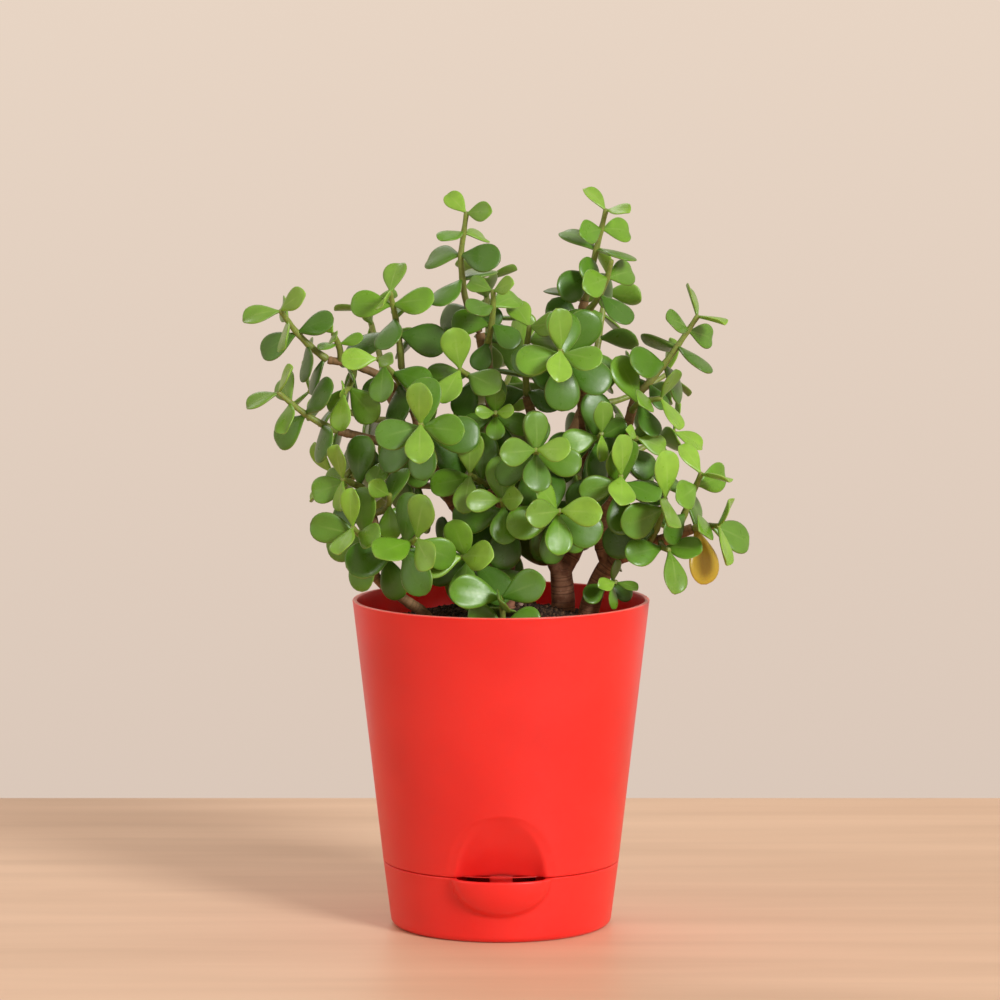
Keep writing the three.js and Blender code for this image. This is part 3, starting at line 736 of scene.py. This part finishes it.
sprig("inner_left", left_arm, (-40, -10, 52), (-44, -18, 56), UP, 4, 5, 15, 20)
sprig("inner_middle", middle_trunk, (-10, -10, 84), (-16, -18, 90), UP, 5, 5, 15, 20)
sprig("inner_right", right_arm, (44, -14, 60), (52, -18, 64), RIGHT, 5, 5, 12, 18)
sprig("right_outer", right_trunk, (62, -16, 32), (62, -26, 42), UP, 4, 5, 17, 21)
sprig("front_seedling", None, (1, -40, 4), (0, -46, 7), RIGHT, 2, 5, 20, 14)
sprig("right_seedling", right_trunk, (42, -4, 6), (44, -12, 8), RIGHT, 3, 4, 9, 12)
sprig("back_top", back_trunk, (-5, 46, 100), (-6, 56, 120), RIGHT, 4, 7, 13, 17)
sprig("back_top_right", back_right, (39, 50, 100), (42, 58, 122), UP, 4, 7, 13, 17)
sprig("back_top_left", back_left, (-48, 46, 94), (-53, 58, 108), RIGHT, 4, 7, 13, 17)
sprig("back_right", back_right, (48, 54, 68), (66, 60, 82), UP, 4, 7, 13, 18)
sprig("back_left", back_left, (-56, 50, 62), (-76, 52, 76), UP, 4, 7, 13, 18)
sprig("back_star", back_trunk, (0, 60, 74), (8, 82, 90), UP, 4, 6, 14, 20)
sprig("back_left_star", back_trunk, (-8, 58, 46), (-14, 80, 56), UP, 4, 6, 14, 20)
sprig("back_right_star", back_right, (26, 58, 42), (42, 76, 50), RIGHT, 4, 6, 14, 20)
sprig("back_low_left", back_left, (-30, 56, 38), (-50, 70, 44), RIGHT, 4, 6, 14, 19)
sprig("side_right", main_right, (50, 24, 54), (68, 30, 62), UP, 4, 7, 13, 18)
sprig("side_left", left_trunk, (-40, 18, 42), (-66, 24, 46), UP, 4, 7, 13, 18)
sprig("low_right_back", main_right, (44, 26, 18), (60, 36, 26), RIGHT, 4, 6, 13, 17)
sprig("low_back", back_trunk, (2, 48, 14), (4, 64, 20), UP, 4, 6, 14, 19)
sprig("low_left_back", left_trunk, (-34, 26, 16), (-54, 36, 20), RIGHT, 4, 6, 13, 18)

# Balls along every leaf and stem, kept in a grid of cells, keep the leaves clear of each other.
cell_size = 10
cells = {}


def cell_of(place):
    return tuple(math.floor(value / cell_size) for value in place)


def keep_ball(ball):
    cells.setdefault(cell_of(ball[0]), []).append(ball)


def hits_ball(ball):
    place, radius, owner, outer = ball
    i, j, k = cell_of(place)
    for x in (i - 1, i, i + 1):
        for y in (j - 1, j, j + 1):
            for z in (k - 1, k, k + 1):
                for other_place, other_radius, other_owner, other_outer in cells.get((x, y, z), ()):
                    if math.dist(place, other_place) < radius + other_radius:
                        if other_owner != owner or (outer and other_outer):
                            return True
    return False


def soil_level(out):
    edge = (planter_cone(rim_z - soil_edge_drop * MM) - wall) / MM
    share = min(out / edge, 1)
    return rim_mm - soil_middle_drop - (soil_edge_drop - soil_middle_drop) * share**2


def hits_pot(ball):
    place, radius = ball[:2]
    out = math.hypot(place[0], place[1])
    inside = rim_radius_mm - wall_mm
    on_wall = place[2] < rim_mm + radius and inside - radius < out < rim_radius_mm + radius
    return on_wall or (out <= inside and place[2] < soil_level(out) + radius)


def keep_limb(path, radii, owner):
    spans = len(path) - 1
    for k in range(spans):
        count = math.ceil(math.dist(path[k], path[k + 1]) / 2)
        for m in range(count):
            share = (k + m / count) / spans
            radius = radii[0] + (radii[1] - radii[0]) * share + leaf_clearance
            place = path[k] + (path[k + 1] - path[k]) * (m / count)
            keep_ball((tuple(place), radius, owner, False))


ball_rows = [
    (0.17, [0]), (0.35, [-0.17, 0.17]), (0.52, [-0.32, 0, 0.32]), (0.7, [-0.34, 0, 0.34]),
    (0.88, [-0.2, 0.2])
]
ball_smallest = 0.65
ball_share = 0.08


def leaf_point(leaf, share, side):
    length = leaf["length"]
    return (
        leaf["root"] + leaf["along"] * (share * length) + leaf["across"] * (
            side * leaf_width_share * length
        ) - leaf["face"] * (leaf_bend * length * share**2)
    )


def leaf_balls(leaf, owner):
    radius = ball_smallest + ball_share * leaf["length"]
    return [
        (tuple(leaf_point(leaf, share, side)), radius, owner, row > 0) for row,
        (share, sides) in enumerate(ball_rows) for side in sides
    ]


chance_seed = 11


def chance():
    """Numbers that look random and come out the same every time."""
    global chance_seed
    chance_seed = (chance_seed * 1664525 + 1013904223) % 4294967296
    return chance_seed / 4294967296


def back_from_tip(path, distance):
    left = distance
    for k in range(len(path) - 1, 0, -1):
        span = math.dist(path[k], path[k - 1])
        if left <= span:
            direction = (path[k] - path[k - 1]) / span
            return path[k] + (path[k - 1] - path[k]) * (left / span), direction
        left -= span
    return None


def unit(vector):
    return vector / np.linalg.norm(vector)


def turned_about(vector, axis, angle):
    c, s = math.cos(angle), math.sin(angle)
    return vector * c + np.cross(axis, vector) * s + axis * (axis.dot(vector) * (1 - c))


first_pair_back = 1
pairs_to_grow = 2.5
inner_pairs = 4
spacing_growth = 0.08
size_spread = 0.16
young_tilt, old_tilt, tilt_spread = 56, 86, 14
young_sag, old_sag = 0.3, 0.9
twist_spread = 36
open_radius = 55
window_share = 0.7
sky_share = 0.45
most_twist = math.radians(65)
tries = [
    (0, 0, 1), (0, 14, 1), (0, -14, 1), (16, 0, 1), (-16, 0, 1), (0, 0, 0.85), (0, 26, 0.85),
    (0, -26, 0.85), (28, 0, 0.8), (-28, 0, 0.8), (0, 10, 0.65), (0, -20, 0.65)
]


def leaf_at(place, direction, side, turn, tilt, sag, twist, length):
    """A leaf stands off its stem by its tilt, hangs by its weight and twists to the light."""
    out = turned_about(side, direction, math.radians(turn))
    stemward, outward = math.cos(math.radians(tilt)), math.sin(math.radians(tilt))
    along = unit(direction * stemward + out * outward - UP * sag)
    upper = direction * outward - out * stemward
    face = unit(upper - along * upper.dot(along))
    light = np.array([place[0] / open_radius, place[1] / open_radius - window_share, sky_share])
    to_light = math.atan2(np.cross(face, light).dot(along), face.dot(light))
    lean_to = max(-most_twist, min(most_twist, to_light))
    face = turned_about(face, along, lean_to + math.radians(twist))
    root = place + along * leaf_root_offset
    return {
        "root": root, "along": along, "face": face, "across": np.cross(along, face),
        "length": length
    }


def clear_leaf(place, direction, side, tilt, sag, twist, length, owner):
    for turn, more_tilt, size in tries:
        leaf = leaf_at(place, direction, side, turn, tilt + more_tilt, sag, twist, length * size)
        balls = leaf_balls(leaf, owner)
        if not any(hits_pot(ball) or hits_ball(ball) for ball in balls):
            for ball in balls:
                keep_ball(ball)
            return leaf
    return None


def blended(low, high, share):
    return low + (high - low) * share


def grow_leaves(shoot, first_pair, end_pair):
    for pair in range(first_pair, end_pair):
        back = first_pair_back + shoot["spacing"] * pair * (1 + spacing_growth * pair)
        node = back_from_tip(shoot["path"], back)
        grown_share = min(pair / pairs_to_grow, 1)
        for way in (1, -1):
            size_chance, tilt_chance, twist_chance, sag_chance = (chance() for _ in range(4))
            if node is None:
                continue
            place, direction = node
            side = unit(shoot["first"] - direction * shoot["first"].dot(direction))
            if pair % 2:
                side = np.cross(side, direction)
            length = blended(
                shoot["young"], shoot["old"], grown_share
            ) * (1 + size_spread * (size_chance - 0.5))
            tilt = blended(young_tilt, old_tilt, grown_share) + tilt_spread * (tilt_chance - 0.5)
            sag = blended(young_sag, old_sag, grown_share) * sag_chance
            twist = twist_spread * (twist_chance - 0.5)
            leaf = clear_leaf(place, direction, side * way, tilt, sag, twist, length, shoot["name"])
            if leaf:
                leaf["age"] = grown_share
                leaf["back"] = back
                shoot["leaves"].append(leaf)


for stem_name, arms in woody_stems.items():
    for each in arms:
        keep_limb(each["path"], each["radii"], stem_name)
for shoot in sprigs:
    keep_limb(shoot["path"], sprig_radii, shoot["name"])
for shoot in sprigs:
    grow_leaves(shoot, 0, shoot["pairs"])
for shoot in sprigs:
    grow_leaves(shoot, shoot["pairs"], shoot["pairs"] + inner_pairs)


def leaf_skin():
    """Waxy skin: bright when young, deeper and bluer with age, with a fine pale or red margin."""
    material, tree, shader = new_material(
        "leaf_skin", Specular_IOR_Level=0.42, Subsurface_Weight=0.16, Subsurface_Scale=0.0014
    )
    shader.inputs["Subsurface Radius"].default_value = (0.6, 1.0, 0.2)
    age, tone = attribute(tree, "age"), attribute(tree, "tone")
    side, share = attribute(tree, "side"), attribute(tree, "share")
    color = mixed(
        tree, ranged(tree, age, 0.0, 0.55, 0, 1, True), (0.275, 0.500, 0.048), (0.122, 0.300, 0.016)
    )
    color = tinted(tree, color, (0.046, 0.138, 0.010), age, 0.45, 1.0, 0, 0.75, True)
    color = tinted(tree, color, (0.068, 0.160, 0.024), tone, 0.35, 1.0, 0, 0.6)
    color = tinted(tree, color, (0.185, 0.370, 0.018), tone, 0.0, 0.3, 0.4, 0.0)
    clouds = object_noise(tree, 170, 3)
    color = tinted(tree, color, (0.050, 0.130, 0.007), clouds, 0.35, 0.7, 0, 0.28)
    beside = calc(tree, "ABSOLUTE", side)
    midrib = calc(
        tree, "MULTIPLY", ranged(tree, beside, 0.02, 0.10, 0.24, 0, True),
        ranged(tree, share, 0.85, 0.45)
    )
    midrib = calc(tree, "MULTIPLY", midrib, ranged(tree, age, 0.9, 0.0, 0.15, 1.0))
    color = mixed(tree, midrib, color, (0.40, 0.55, 0.16))
    rim = calc(
        tree, "MAXIMUM", ranged(tree, beside, 0.86, 0.99, 0, 1, True),
        ranged(tree, share, 0.95, 1.0, 0, 1, True)
    )
    edge_color = mixed(tree, ranged(tree, tone, 0.55, 0.75), (0.42, 0.55, 0.14), (0.20, 0.10, 0.03))
    color = mixed(tree, calc(tree, "MULTIPLY", rim, 0.38), color, edge_color)
    under = ranged(tree, attribute(tree, "top"), 0.0, -0.35, 0, 0.35, True)
    color = mixed(tree, under, color, (0.19, 0.32, 0.07))
    ripe = ranged(tree, attribute(tree, "ripe"), 0.4, 0.6, 0, 0.85)
    color = mixed(tree, ripe, color, (0.50, 0.31, 0.025))
    stipple = object_noise(tree, 2600, 2)
    color = tinted(tree, color, (0.26, 0.38, 0.16), stipple, 0.55, 0.75, 0, 0.10)
    waxy = ranged(tree, object_noise(tree, 260, 2), 0.3, 0.7, 0.26, 0.42)
    painted(tree, shader, color, waxy)
    ripples = object_noise(tree, 420, 3)
    fine = calc(tree, "MULTIPLY_ADD", stipple, 0.25, ripples)
    bumped(tree, shader, fine, 0.10 * MM, 0.5)
    return material


def shoot_skin():
    """A shoot's own skin: green and smooth, browner towards its base."""
    material, tree, shader = new_material(
        "shoot_skin", Specular_IOR_Level=0.45, Subsurface_Weight=0.1
    )
    shader.inputs["Subsurface Scale"].default_value = 0.001
    old = ranged(tree, attribute(tree, "back"), 22 * MM, 52 * MM, 0, 1, True)
    color = mixed(tree, old, (0.225, 0.290, 0.050), (0.20, 0.110, 0.050))
    streaks = object_noise(tree, 600, 4)
    color = tinted(tree, color, (0.13, 0.12, 0.035), streaks, 0.4, 0.75, 0, 0.5)
    painted(tree, shader, color, ranged(tree, streaks, 0.3, 0.7, 0.38, 0.55))
    bumped(tree, shader, streaks, 0.15 * MM, 0.6)
    return material


def leaf_form():
    """One leaf a metre long and wide, of a few dozen faces, in rings from its stalk to its tip."""
    rows = [(0.0, 0.13, 0.046), (0.09, 0.22, 0.055), (0.24, 0.56, 0.064), (0.42, 0.89, 0.068)]
    rows += [(0.61, 1.06, 0.066), (0.79, 0.98, 0.056), (0.93, 0.66, 0.042)]
    around = 8
    vertices, shares, sides, tops = [(0, -0.03, 0)], [0], [0], [0]
    for share, width, thick in rows:
        for k in range(around):
            turn = 2 * math.pi * k / around
            side, top = math.cos(turn), math.sin(turn)
            vertices.append((side * width / 2, share, top * thick))
            shares.append(share)
            sides.append(side)
            tops.append(top)
    vertices.append((0, 1.015, 0))
    shares.append(1)
    sides.append(0)
    tops.append(0)
    made = mesh_object("leaf_form", vertices, capped_faces(around, len(rows)))
    for name, values in (("share", shares), ("side", sides), ("top", tops)):
        give(made.data, name, values)
    return faced_out(made)


def shoot_tree():
    """Sets a leaf on each loose point and bends it, and sweeps the edges into the shoot's stem."""
    tree, start, end = new_tree(
        "leafy_shoot",
        [
            ("Leaf", "Object", None), ("Stem Sides", "Int", 8), ("Leaf Skin", "Material", None),
            ("Shoot Skin", "Material", None)
        ]
    )
    given = start.outputs
    parts = add(
        tree, "GeometryNodeSeparateGeometry",
        {"Geometry": given["Geometry"], "Selection": named(tree, "is_leaf", "BOOLEAN")},
        domain="POINT"
    )
    leaf = add(
        tree, "GeometryNodeObjectInfo", {"Object": given["Leaf"], "As Instance": True}
    ).outputs["Geometry"]
    facing = add(
        tree, "FunctionNodeAxesToRotation",
        {0: named(tree, "along_axis", "FLOAT_VECTOR"), 1: named(tree, "face_axis", "FLOAT_VECTOR")},
        primary_axis="Y", secondary_axis="Z"
    ).outputs["Rotation"]
    leaves = geo_out(
        tree, "InstanceOnPoints",
        {
            "Points": parts.outputs["Selection"], "Instance": leaf, "Rotation": facing,
            "Scale": named(tree, "leaf_size", "FLOAT_VECTOR")
        }
    )
    leaves = geo_out(tree, "RealizeInstances", {"Geometry": leaves})
    share, side = named(tree, "share"), named(tree, "side")
    length, fold = named(tree, "length"), named(tree, "fold")
    square = calc(tree, "MULTIPLY", share, share)
    drop = calc(tree, "MULTIPLY", square, named(tree, "bend"))
    beside = calc(tree, "ABSOLUTE", side)
    lift = calc(tree, "MULTIPLY", calc(tree, "MULTIPLY", beside, fold), share)
    lift = calc(tree, "SUBTRACT", lift, drop)
    lift = calc(tree, "MULTIPLY", lift, length)
    sway = calc(tree, "MULTIPLY", calc(tree, "MULTIPLY", square, named(tree, "sway")), length)
    offset = add(
        tree, "ShaderNodeVectorMath",
        {
            0: scaled_vector(tree, named(tree, "face_axis", "FLOAT_VECTOR"), lift),
            1: scaled_vector(tree, named(tree, "across_axis", "FLOAT_VECTOR"), sway)
        },
        operation="ADD"
    ).outputs["Vector"]
    leaves = geo_out(tree, "SetPosition", {"Geometry": leaves, "Offset": offset})
    leaves = coated(tree, leaves, given["Leaf Skin"])
    curve = geo_out(tree, "MeshToCurve", {"Mesh": parts.outputs["Inverted"]})
    stem = coated(tree, swept(tree, curve, given["Stem Sides"]), given["Shoot Skin"])
    both = add(tree, "GeometryNodeJoinGeometry")
    tree.links.new(stem, both.inputs["Geometry"])
    tree.links.new(leaves, both.inputs["Geometry"])
    smooth = geo_out(tree, "SubdivisionSurface", {"Mesh": both.outputs["Geometry"], "Level": 1})
    tree.links.new(smooth, end.inputs["Geometry"])
    return tree


def shoot_path(shoot):
    """The shoot's path in short steps, its corners eased, with how far back each point is."""
    path, spacing = shoot["path"], 1.6
    points = []
    for a, b in zip(path, path[1:]):
        count = max(1, round(math.dist(a, b) / spacing))
        points += [a + (b - a) * (k / count) for k in range(count)]
    points = np.array([*points, path[-1]])
    for _ in range(6):
        points[1:-1] = (points[:-2] + 2 * points[1:-1] + points[2:]) / 4
    spans = np.linalg.norm(np.diff(points, axis=0), axis=1)
    return points, np.append(np.cumsum(spans[::-1])[::-1], 0)


def shoot_points(shoot, rng):
    """The shoot's stem as edges and its leaves as loose points, with what the tree asks of each."""
    points, backs = shoot_path(shoot)
    leaves = shoot["leaves"]
    total = backs[0]
    thick = blended(sprig_radii[1], sprig_radii[0], backs / total) * 0.92
    for back in {leaf["back"] for leaf in leaves}:
        thick = thick * (1 + 0.22 * np.exp(-(((backs - back) / 1.3) ** 2)))
    stems = len(points)
    mesh = bpy.data.meshes.new("shoot")
    place = [p * MM for p in points] + [leaf["root"] * MM for leaf in leaves]
    mesh.from_pydata([tuple(p) for p in place], [(k, k + 1) for k in range(stems - 1)], [])
    made = {
        "is_leaf": [False] * stems + [True] * len(leaves),
        "thick": list(thick * MM) + [0.0] * len(leaves),
        "back": list(backs * MM) + [0.0] * len(leaves)
    }
    lengths = np.array([leaf["length"] for leaf in leaves])
    ages = np.array([leaf["age"] for leaf in leaves])
    per_leaf = {
        "length": lengths * MM, "age": np.clip(ages + rng.normal(0, 0.10, len(leaves)), 0, 1),
        "tone": rng.random(len(leaves)), "ripe": [leaf is ripe_leaf for leaf in leaves],
        "bend": leaf_bend + rng.normal(0, 0.035, len(leaves)),
        "fold": blended(0.17, 0.02, ages) + rng.normal(0, 0.03, len(leaves)),
        "sway": rng.normal(0, 0.03, len(leaves))
    }
    if shoot["name"] == "front_seedling":
        per_leaf["age"] = np.full(len(leaves), 0.55)
    for key, values in per_leaf.items():
        made[key] = [0.0] * stems + [float(v) for v in values]
    for key, values in made.items():
        give(mesh, key, values, "BOOLEAN" if key == "is_leaf" else "FLOAT")
    width = leaf_width_share * (1 + rng.normal(0, 0.05, len(leaves)))
    sizes = np.stack([lengths * width, lengths * 1.02, lengths], axis=1) * MM
    axes = {
        "along_axis": [leaf["along"] for leaf in leaves],
        "face_axis": [leaf["face"] for leaf in leaves],
        "across_axis": [leaf["across"] for leaf in leaves], "leaf_size": list(sizes)
    }
    for key, values in axes.items():
        flat = [0.0] * (3 * stems) + [float(x) for v in values for x in v]
        give(mesh, key, flat, "FLOAT_VECTOR")
    return placed("shoot", mesh)


# The oldest leaf of all has turned ochre before it drops.
ripe_spot = np.array([72, -12, rim_mm + 12])
every_leaf = [leaf for shoot in sprigs for leaf in shoot["leaves"]]
ripe_leaf = min(every_leaf, key=lambda leaf: math.dist(leaf_point(leaf, 0.5, 0), ripe_spot))
leaf_green = leaf_skin()
shoot_green = shoot_skin()
leaf_shape = leaf_form()
leafy_shoot = shoot_tree()
for number, shoot in enumerate(sprigs):
    node_name = "sprig_" + shoot["name"]
    source = shoot_points(shoot, np.random.default_rng(100 + number))
    inputs = {"Leaf": leaf_shape, "Leaf Skin": leaf_green, "Shoot Skin": shoot_green}
    leafy = grown(source, leafy_shoot, inputs, node_name + "_leaves")
    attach(leafy, "root")
    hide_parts(node_name)
bpy.data.objects.remove(leaf_shape)


# ---- Soil ----
# Dry potting mix of coir and bark crumbs, heaped a little round the stems and filling the pot
# down into the soak cup. Its crumbs, a few fibres and small stones lie loose on top.
soil_edge = planter_cone(rim_z - soil_edge_drop * MM) - wall - seat_gap
soil_bottom = planter_floor + seat_gap
soil_bottom_edge = planter_cone(soil_bottom) - wall - seat_gap


def soil_earth():
    material, tree, shader = new_material("soil_earth", Specular_IOR_Level=0.25)
    color_of = attribute(tree, "shade")
    clumps = object_noise(tree, 700, 5)
    color = mixed(
        tree, ranged(tree, clumps, 0.3, 0.7), (0.012, 0.006, 0.004), (0.062, 0.032, 0.019)
    )
    color = tinted(tree, color, (0.16, 0.085, 0.045), color_of, 0.55, 1.0, 0, 0.75)
    color = tinted(tree, color, (0.010, 0.006, 0.005), color_of, 0.0, 0.25, 0.7, 0)
    color = tinted(tree, color, (0.36, 0.23, 0.18), color_of, 1.5, 1.9)
    painted(tree, shader, color, ranged(tree, clumps, 0.3, 0.7, 0.75, 0.95))
    bumped(tree, shader, clumps, 0.6 * MM, 0.9)
    return material


def soil_heap():
    """The heap as a closed body, its top in fine rings and lumpy."""
    rings, around = 44, 132
    vertices = [(0, 0, soil_level(0) * MM)]
    for j in range(1, rings + 1):
        radius = soil_edge * j / rings
        for k in range(around):
            angle = 2 * math.pi * k / around
            x, y = radius * math.sin(angle), -radius * math.cos(angle)
            level = soil_level(radius / MM) * MM
            lump = noise.fractal((x * 130, y * 130, 3.1), 0.8, 2.1, 4) * 0.9 * MM
            inward = min(1, (rings - j) / 3)
            vertices.append((x, y, level - 0.4 * MM + lump * inward))
    levels = heights(soil_bottom, soil_level(soil_edge / MM) * MM - 3 * MM, 3 * MM)[::-1]
    for level in levels:
        for k in range(around):
            angle = 2 * math.pi * k / around
            radius = planter_inside(angle, level) - seat_gap
            vertices.append((radius * math.sin(angle), -radius * math.cos(angle), level))
    vertices.append((0, 0, soil_bottom))
    return mesh_object("soil_top", vertices, capped_faces(around, rings + len(levels)))


def crumb(name, squash):
    """A rough grain of a few faces."""
    made = mesh_object(name, [], [])
    grain = bmesh.new()
    bmesh.ops.create_icosphere(grain, subdivisions=1, radius=1)
    for v in grain.verts:
        v.co = [c * s for c, s in zip(v.co, squash)]
    grain.to_mesh(made.data)
    grain.free()
    return made


def litter_tree():
    """Strews crumbs and fibres over what faces up, and keeps the body under them."""
    tree, start, end = new_tree(
        "soil_litter",
        [
            ("Crumb", "Object", None), ("Fibre", "Object", None), ("Stone", "Object", None),
            ("Crumbs per Area", "Float", 520000.0), ("Fibres per Area", "Float", 42000.0),
            ("Stones per Area", "Float", 2600.0), ("Earth", "Material", None)
        ]
    )
    given = start.outputs
    normal = geo_out(tree, "InputNormal")
    upward = add(tree, "ShaderNodeSeparateXYZ", {"Vector": normal}).outputs["Z"]
    facing_up = add(
        tree, "FunctionNodeCompare", {0: upward, 1: 0.5}, data_type="FLOAT",
        operation="GREATER_THAN"
    ).outputs["Result"]
    body = stored(tree, given["Geometry"], "shade", 0.4)
    place = geo_out(tree, "InputPosition")
    out = shade_out(tree, "VectorMath", {0: place, 1: (1, 1, 0)}, operation="MULTIPLY")
    out = add(tree, "ShaderNodeVectorMath", {0: out}, operation="LENGTH").outputs["Value"]
    kinds = [
        ("Crumb", "Crumbs per Area", 0.35, 1.15, 3, 1.3 * MM),
        ("Fibre", "Fibres per Area", 0.5, 1.2, 8, 4.5 * MM),
        ("Stone", "Stones per Area", 0.6, 1.3, 21, 3.5 * MM)
    ]
    strewn = []
    for label, density, smallest, largest, seed, margin in kinds:
        inside = calc(tree, "LESS_THAN", out, soil_edge - margin)
        here = calc(tree, "MULTIPLY", facing_up, inside)
        spots = geo_out(
            tree, "DistributePointsOnFaces",
            {"Mesh": given["Geometry"], "Selection": here, "Density": given[density], "Seed": seed}
        )
        turn = add(
            tree, "FunctionNodeRandomValue",
            {
                0: (0, 0, 0), 1: (0.5, 0.5, 6.283) if label == "Fibre" else (6.283, 6.283, 6.283),
                "Seed": seed + 1
            },
            data_type="FLOAT_VECTOR"
        ).outputs["Value"]
        size, shade = (
            add(
                tree, "FunctionNodeRandomValue", {2: low, 3: high, "Seed": own}, data_type="FLOAT"
            ).outputs[1] for low,
            high, own in ((smallest, largest, seed + 2), (0.0, 1.0, seed + 3))
        )
        if label == "Stone":
            shade = calc(tree, "ADD", shade, 2.0)
        spots = stored(tree, spots, "shade", shade)
        grain = add(
            tree, "GeometryNodeObjectInfo", {"Object": given[label], "As Instance": True}
        ).outputs["Geometry"]
        strewn.append(
            geo_out(
                tree, "InstanceOnPoints",
                {"Points": spots, "Instance": grain, "Rotation": turn, "Scale": size}
            )
        )
    both = add(tree, "GeometryNodeJoinGeometry")
    for geometry in (body, *strewn):
        tree.links.new(geometry, both.inputs["Geometry"])
    whole = geo_out(tree, "RealizeInstances", {"Geometry": both.outputs["Geometry"]})
    tree.links.new(coated(tree, whole, given["Earth"]), end.inputs["Geometry"])
    return tree


earth = soil_earth()
coir_crumb = crumb("coir_crumb", (1.1 * MM, 0.8 * MM, 0.6 * MM))
coir_fibre = crumb("coir_fibre", (3.2 * MM, 0.16 * MM, 0.14 * MM))
stone = crumb("stone", (1.7 * MM, 1.3 * MM, 1.1 * MM))
grains = {"Crumb": coir_crumb, "Fibre": coir_fibre, "Stone": stone, "Earth": earth}
soil_mix = grown(soil_heap(), litter_tree(), grains, "soil_mix")
for grain in (coir_crumb, coir_fibre, stone):
    bpy.data.objects.remove(grain)
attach(soil_mix, "root")
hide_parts("soil")


# ---- Camera ----
# A long lens a little above the rim, looking slightly down at the front of the pot.
camera = placed("camera", bpy.data.cameras.new("camera"))
camera.location = (-0.0004, -1.840, 0.364)
camera.rotation_euler = (math.radians(90 - 6.2), 0, 0)
camera.data.lens = 174
camera.data.sensor_width = 36
bpy.context.scene.camera = camera


# ---- Floor and light ----
# A plain pale table top, a warm pale surround, and soft boxes: the key from the front right.
def floor_stage():
    material, tree, shader = new_material("table_top", Roughness=0.45, Specular_IOR_Level=0.35)
    grain = object_noise(tree, 6, 4, (0.6, 6, 1), 0.3)
    color = mixed(tree, ranged(tree, grain, 0.3, 0.7), (0.66, 0.44, 0.29), (0.78, 0.54, 0.37))
    tree.links.new(color, shader.inputs["Base Color"])
    back_edge, front_edge, side = 0.283, -0.62, 0.85  # in metres from the pot's middle
    corners = [
        (-side, front_edge, 0), (side, front_edge, 0), (side, back_edge, 0), (-side, back_edge, 0)
    ]
    return mesh_object("table_top", corners, [(0, 1, 2, 3)], material)


floor_stage()


def soft_box(name, place, target, size, watts, color=(1, 1, 1)):
    light = bpy.data.lights.new(name, "AREA")
    light.shape, light.size, light.size_y = "RECTANGLE", size[0], size[1]
    light.energy, light.color = watts, color
    made = placed(name, light)
    made.location = place
    towards = np.array(target) - np.array(place)
    made.rotation_euler = Vector(towards).to_track_quat("-Z", "Y").to_euler()
    return made


middle = (0, 0, 0.16)  # of the whole plant
soft_box("key", (2.5, -3.2, 1.95), middle, (1.1, 1.1), 165)
soft_box("fill", (-2.6, -1.2, 1.2), middle, (1.6, 2.2), 11)
soft_box("back", (-0.9, 2.4, 2.4), middle, (2.0, 1.4), 18)
world = bpy.data.worlds.new("surround")
bpy.context.scene.world = world
world.use_nodes = True
sky = world.node_tree
towards = add(
    sky, "ShaderNodeSeparateXYZ", {"Vector": add(sky, "ShaderNodeTexCoord").outputs["Generated"]}
)
fall = ranged(sky, towards.outputs["Z"], -0.17, 0.0)
backdrop = mixed(sky, fall, (0.705, 0.578, 0.490), (0.807, 0.665, 0.552))
soft = add(sky, "ShaderNodeLightPath").outputs["Is Diffuse Ray"]
sky.links.new(backdrop, sky.nodes["Background"].inputs["Color"])
sky.links.new(ranged(sky, soft, 0, 1, 1.0, 0.66), sky.nodes["Background"].inputs["Strength"])
bpy.context.scene.view_settings.view_transform = "Standard"
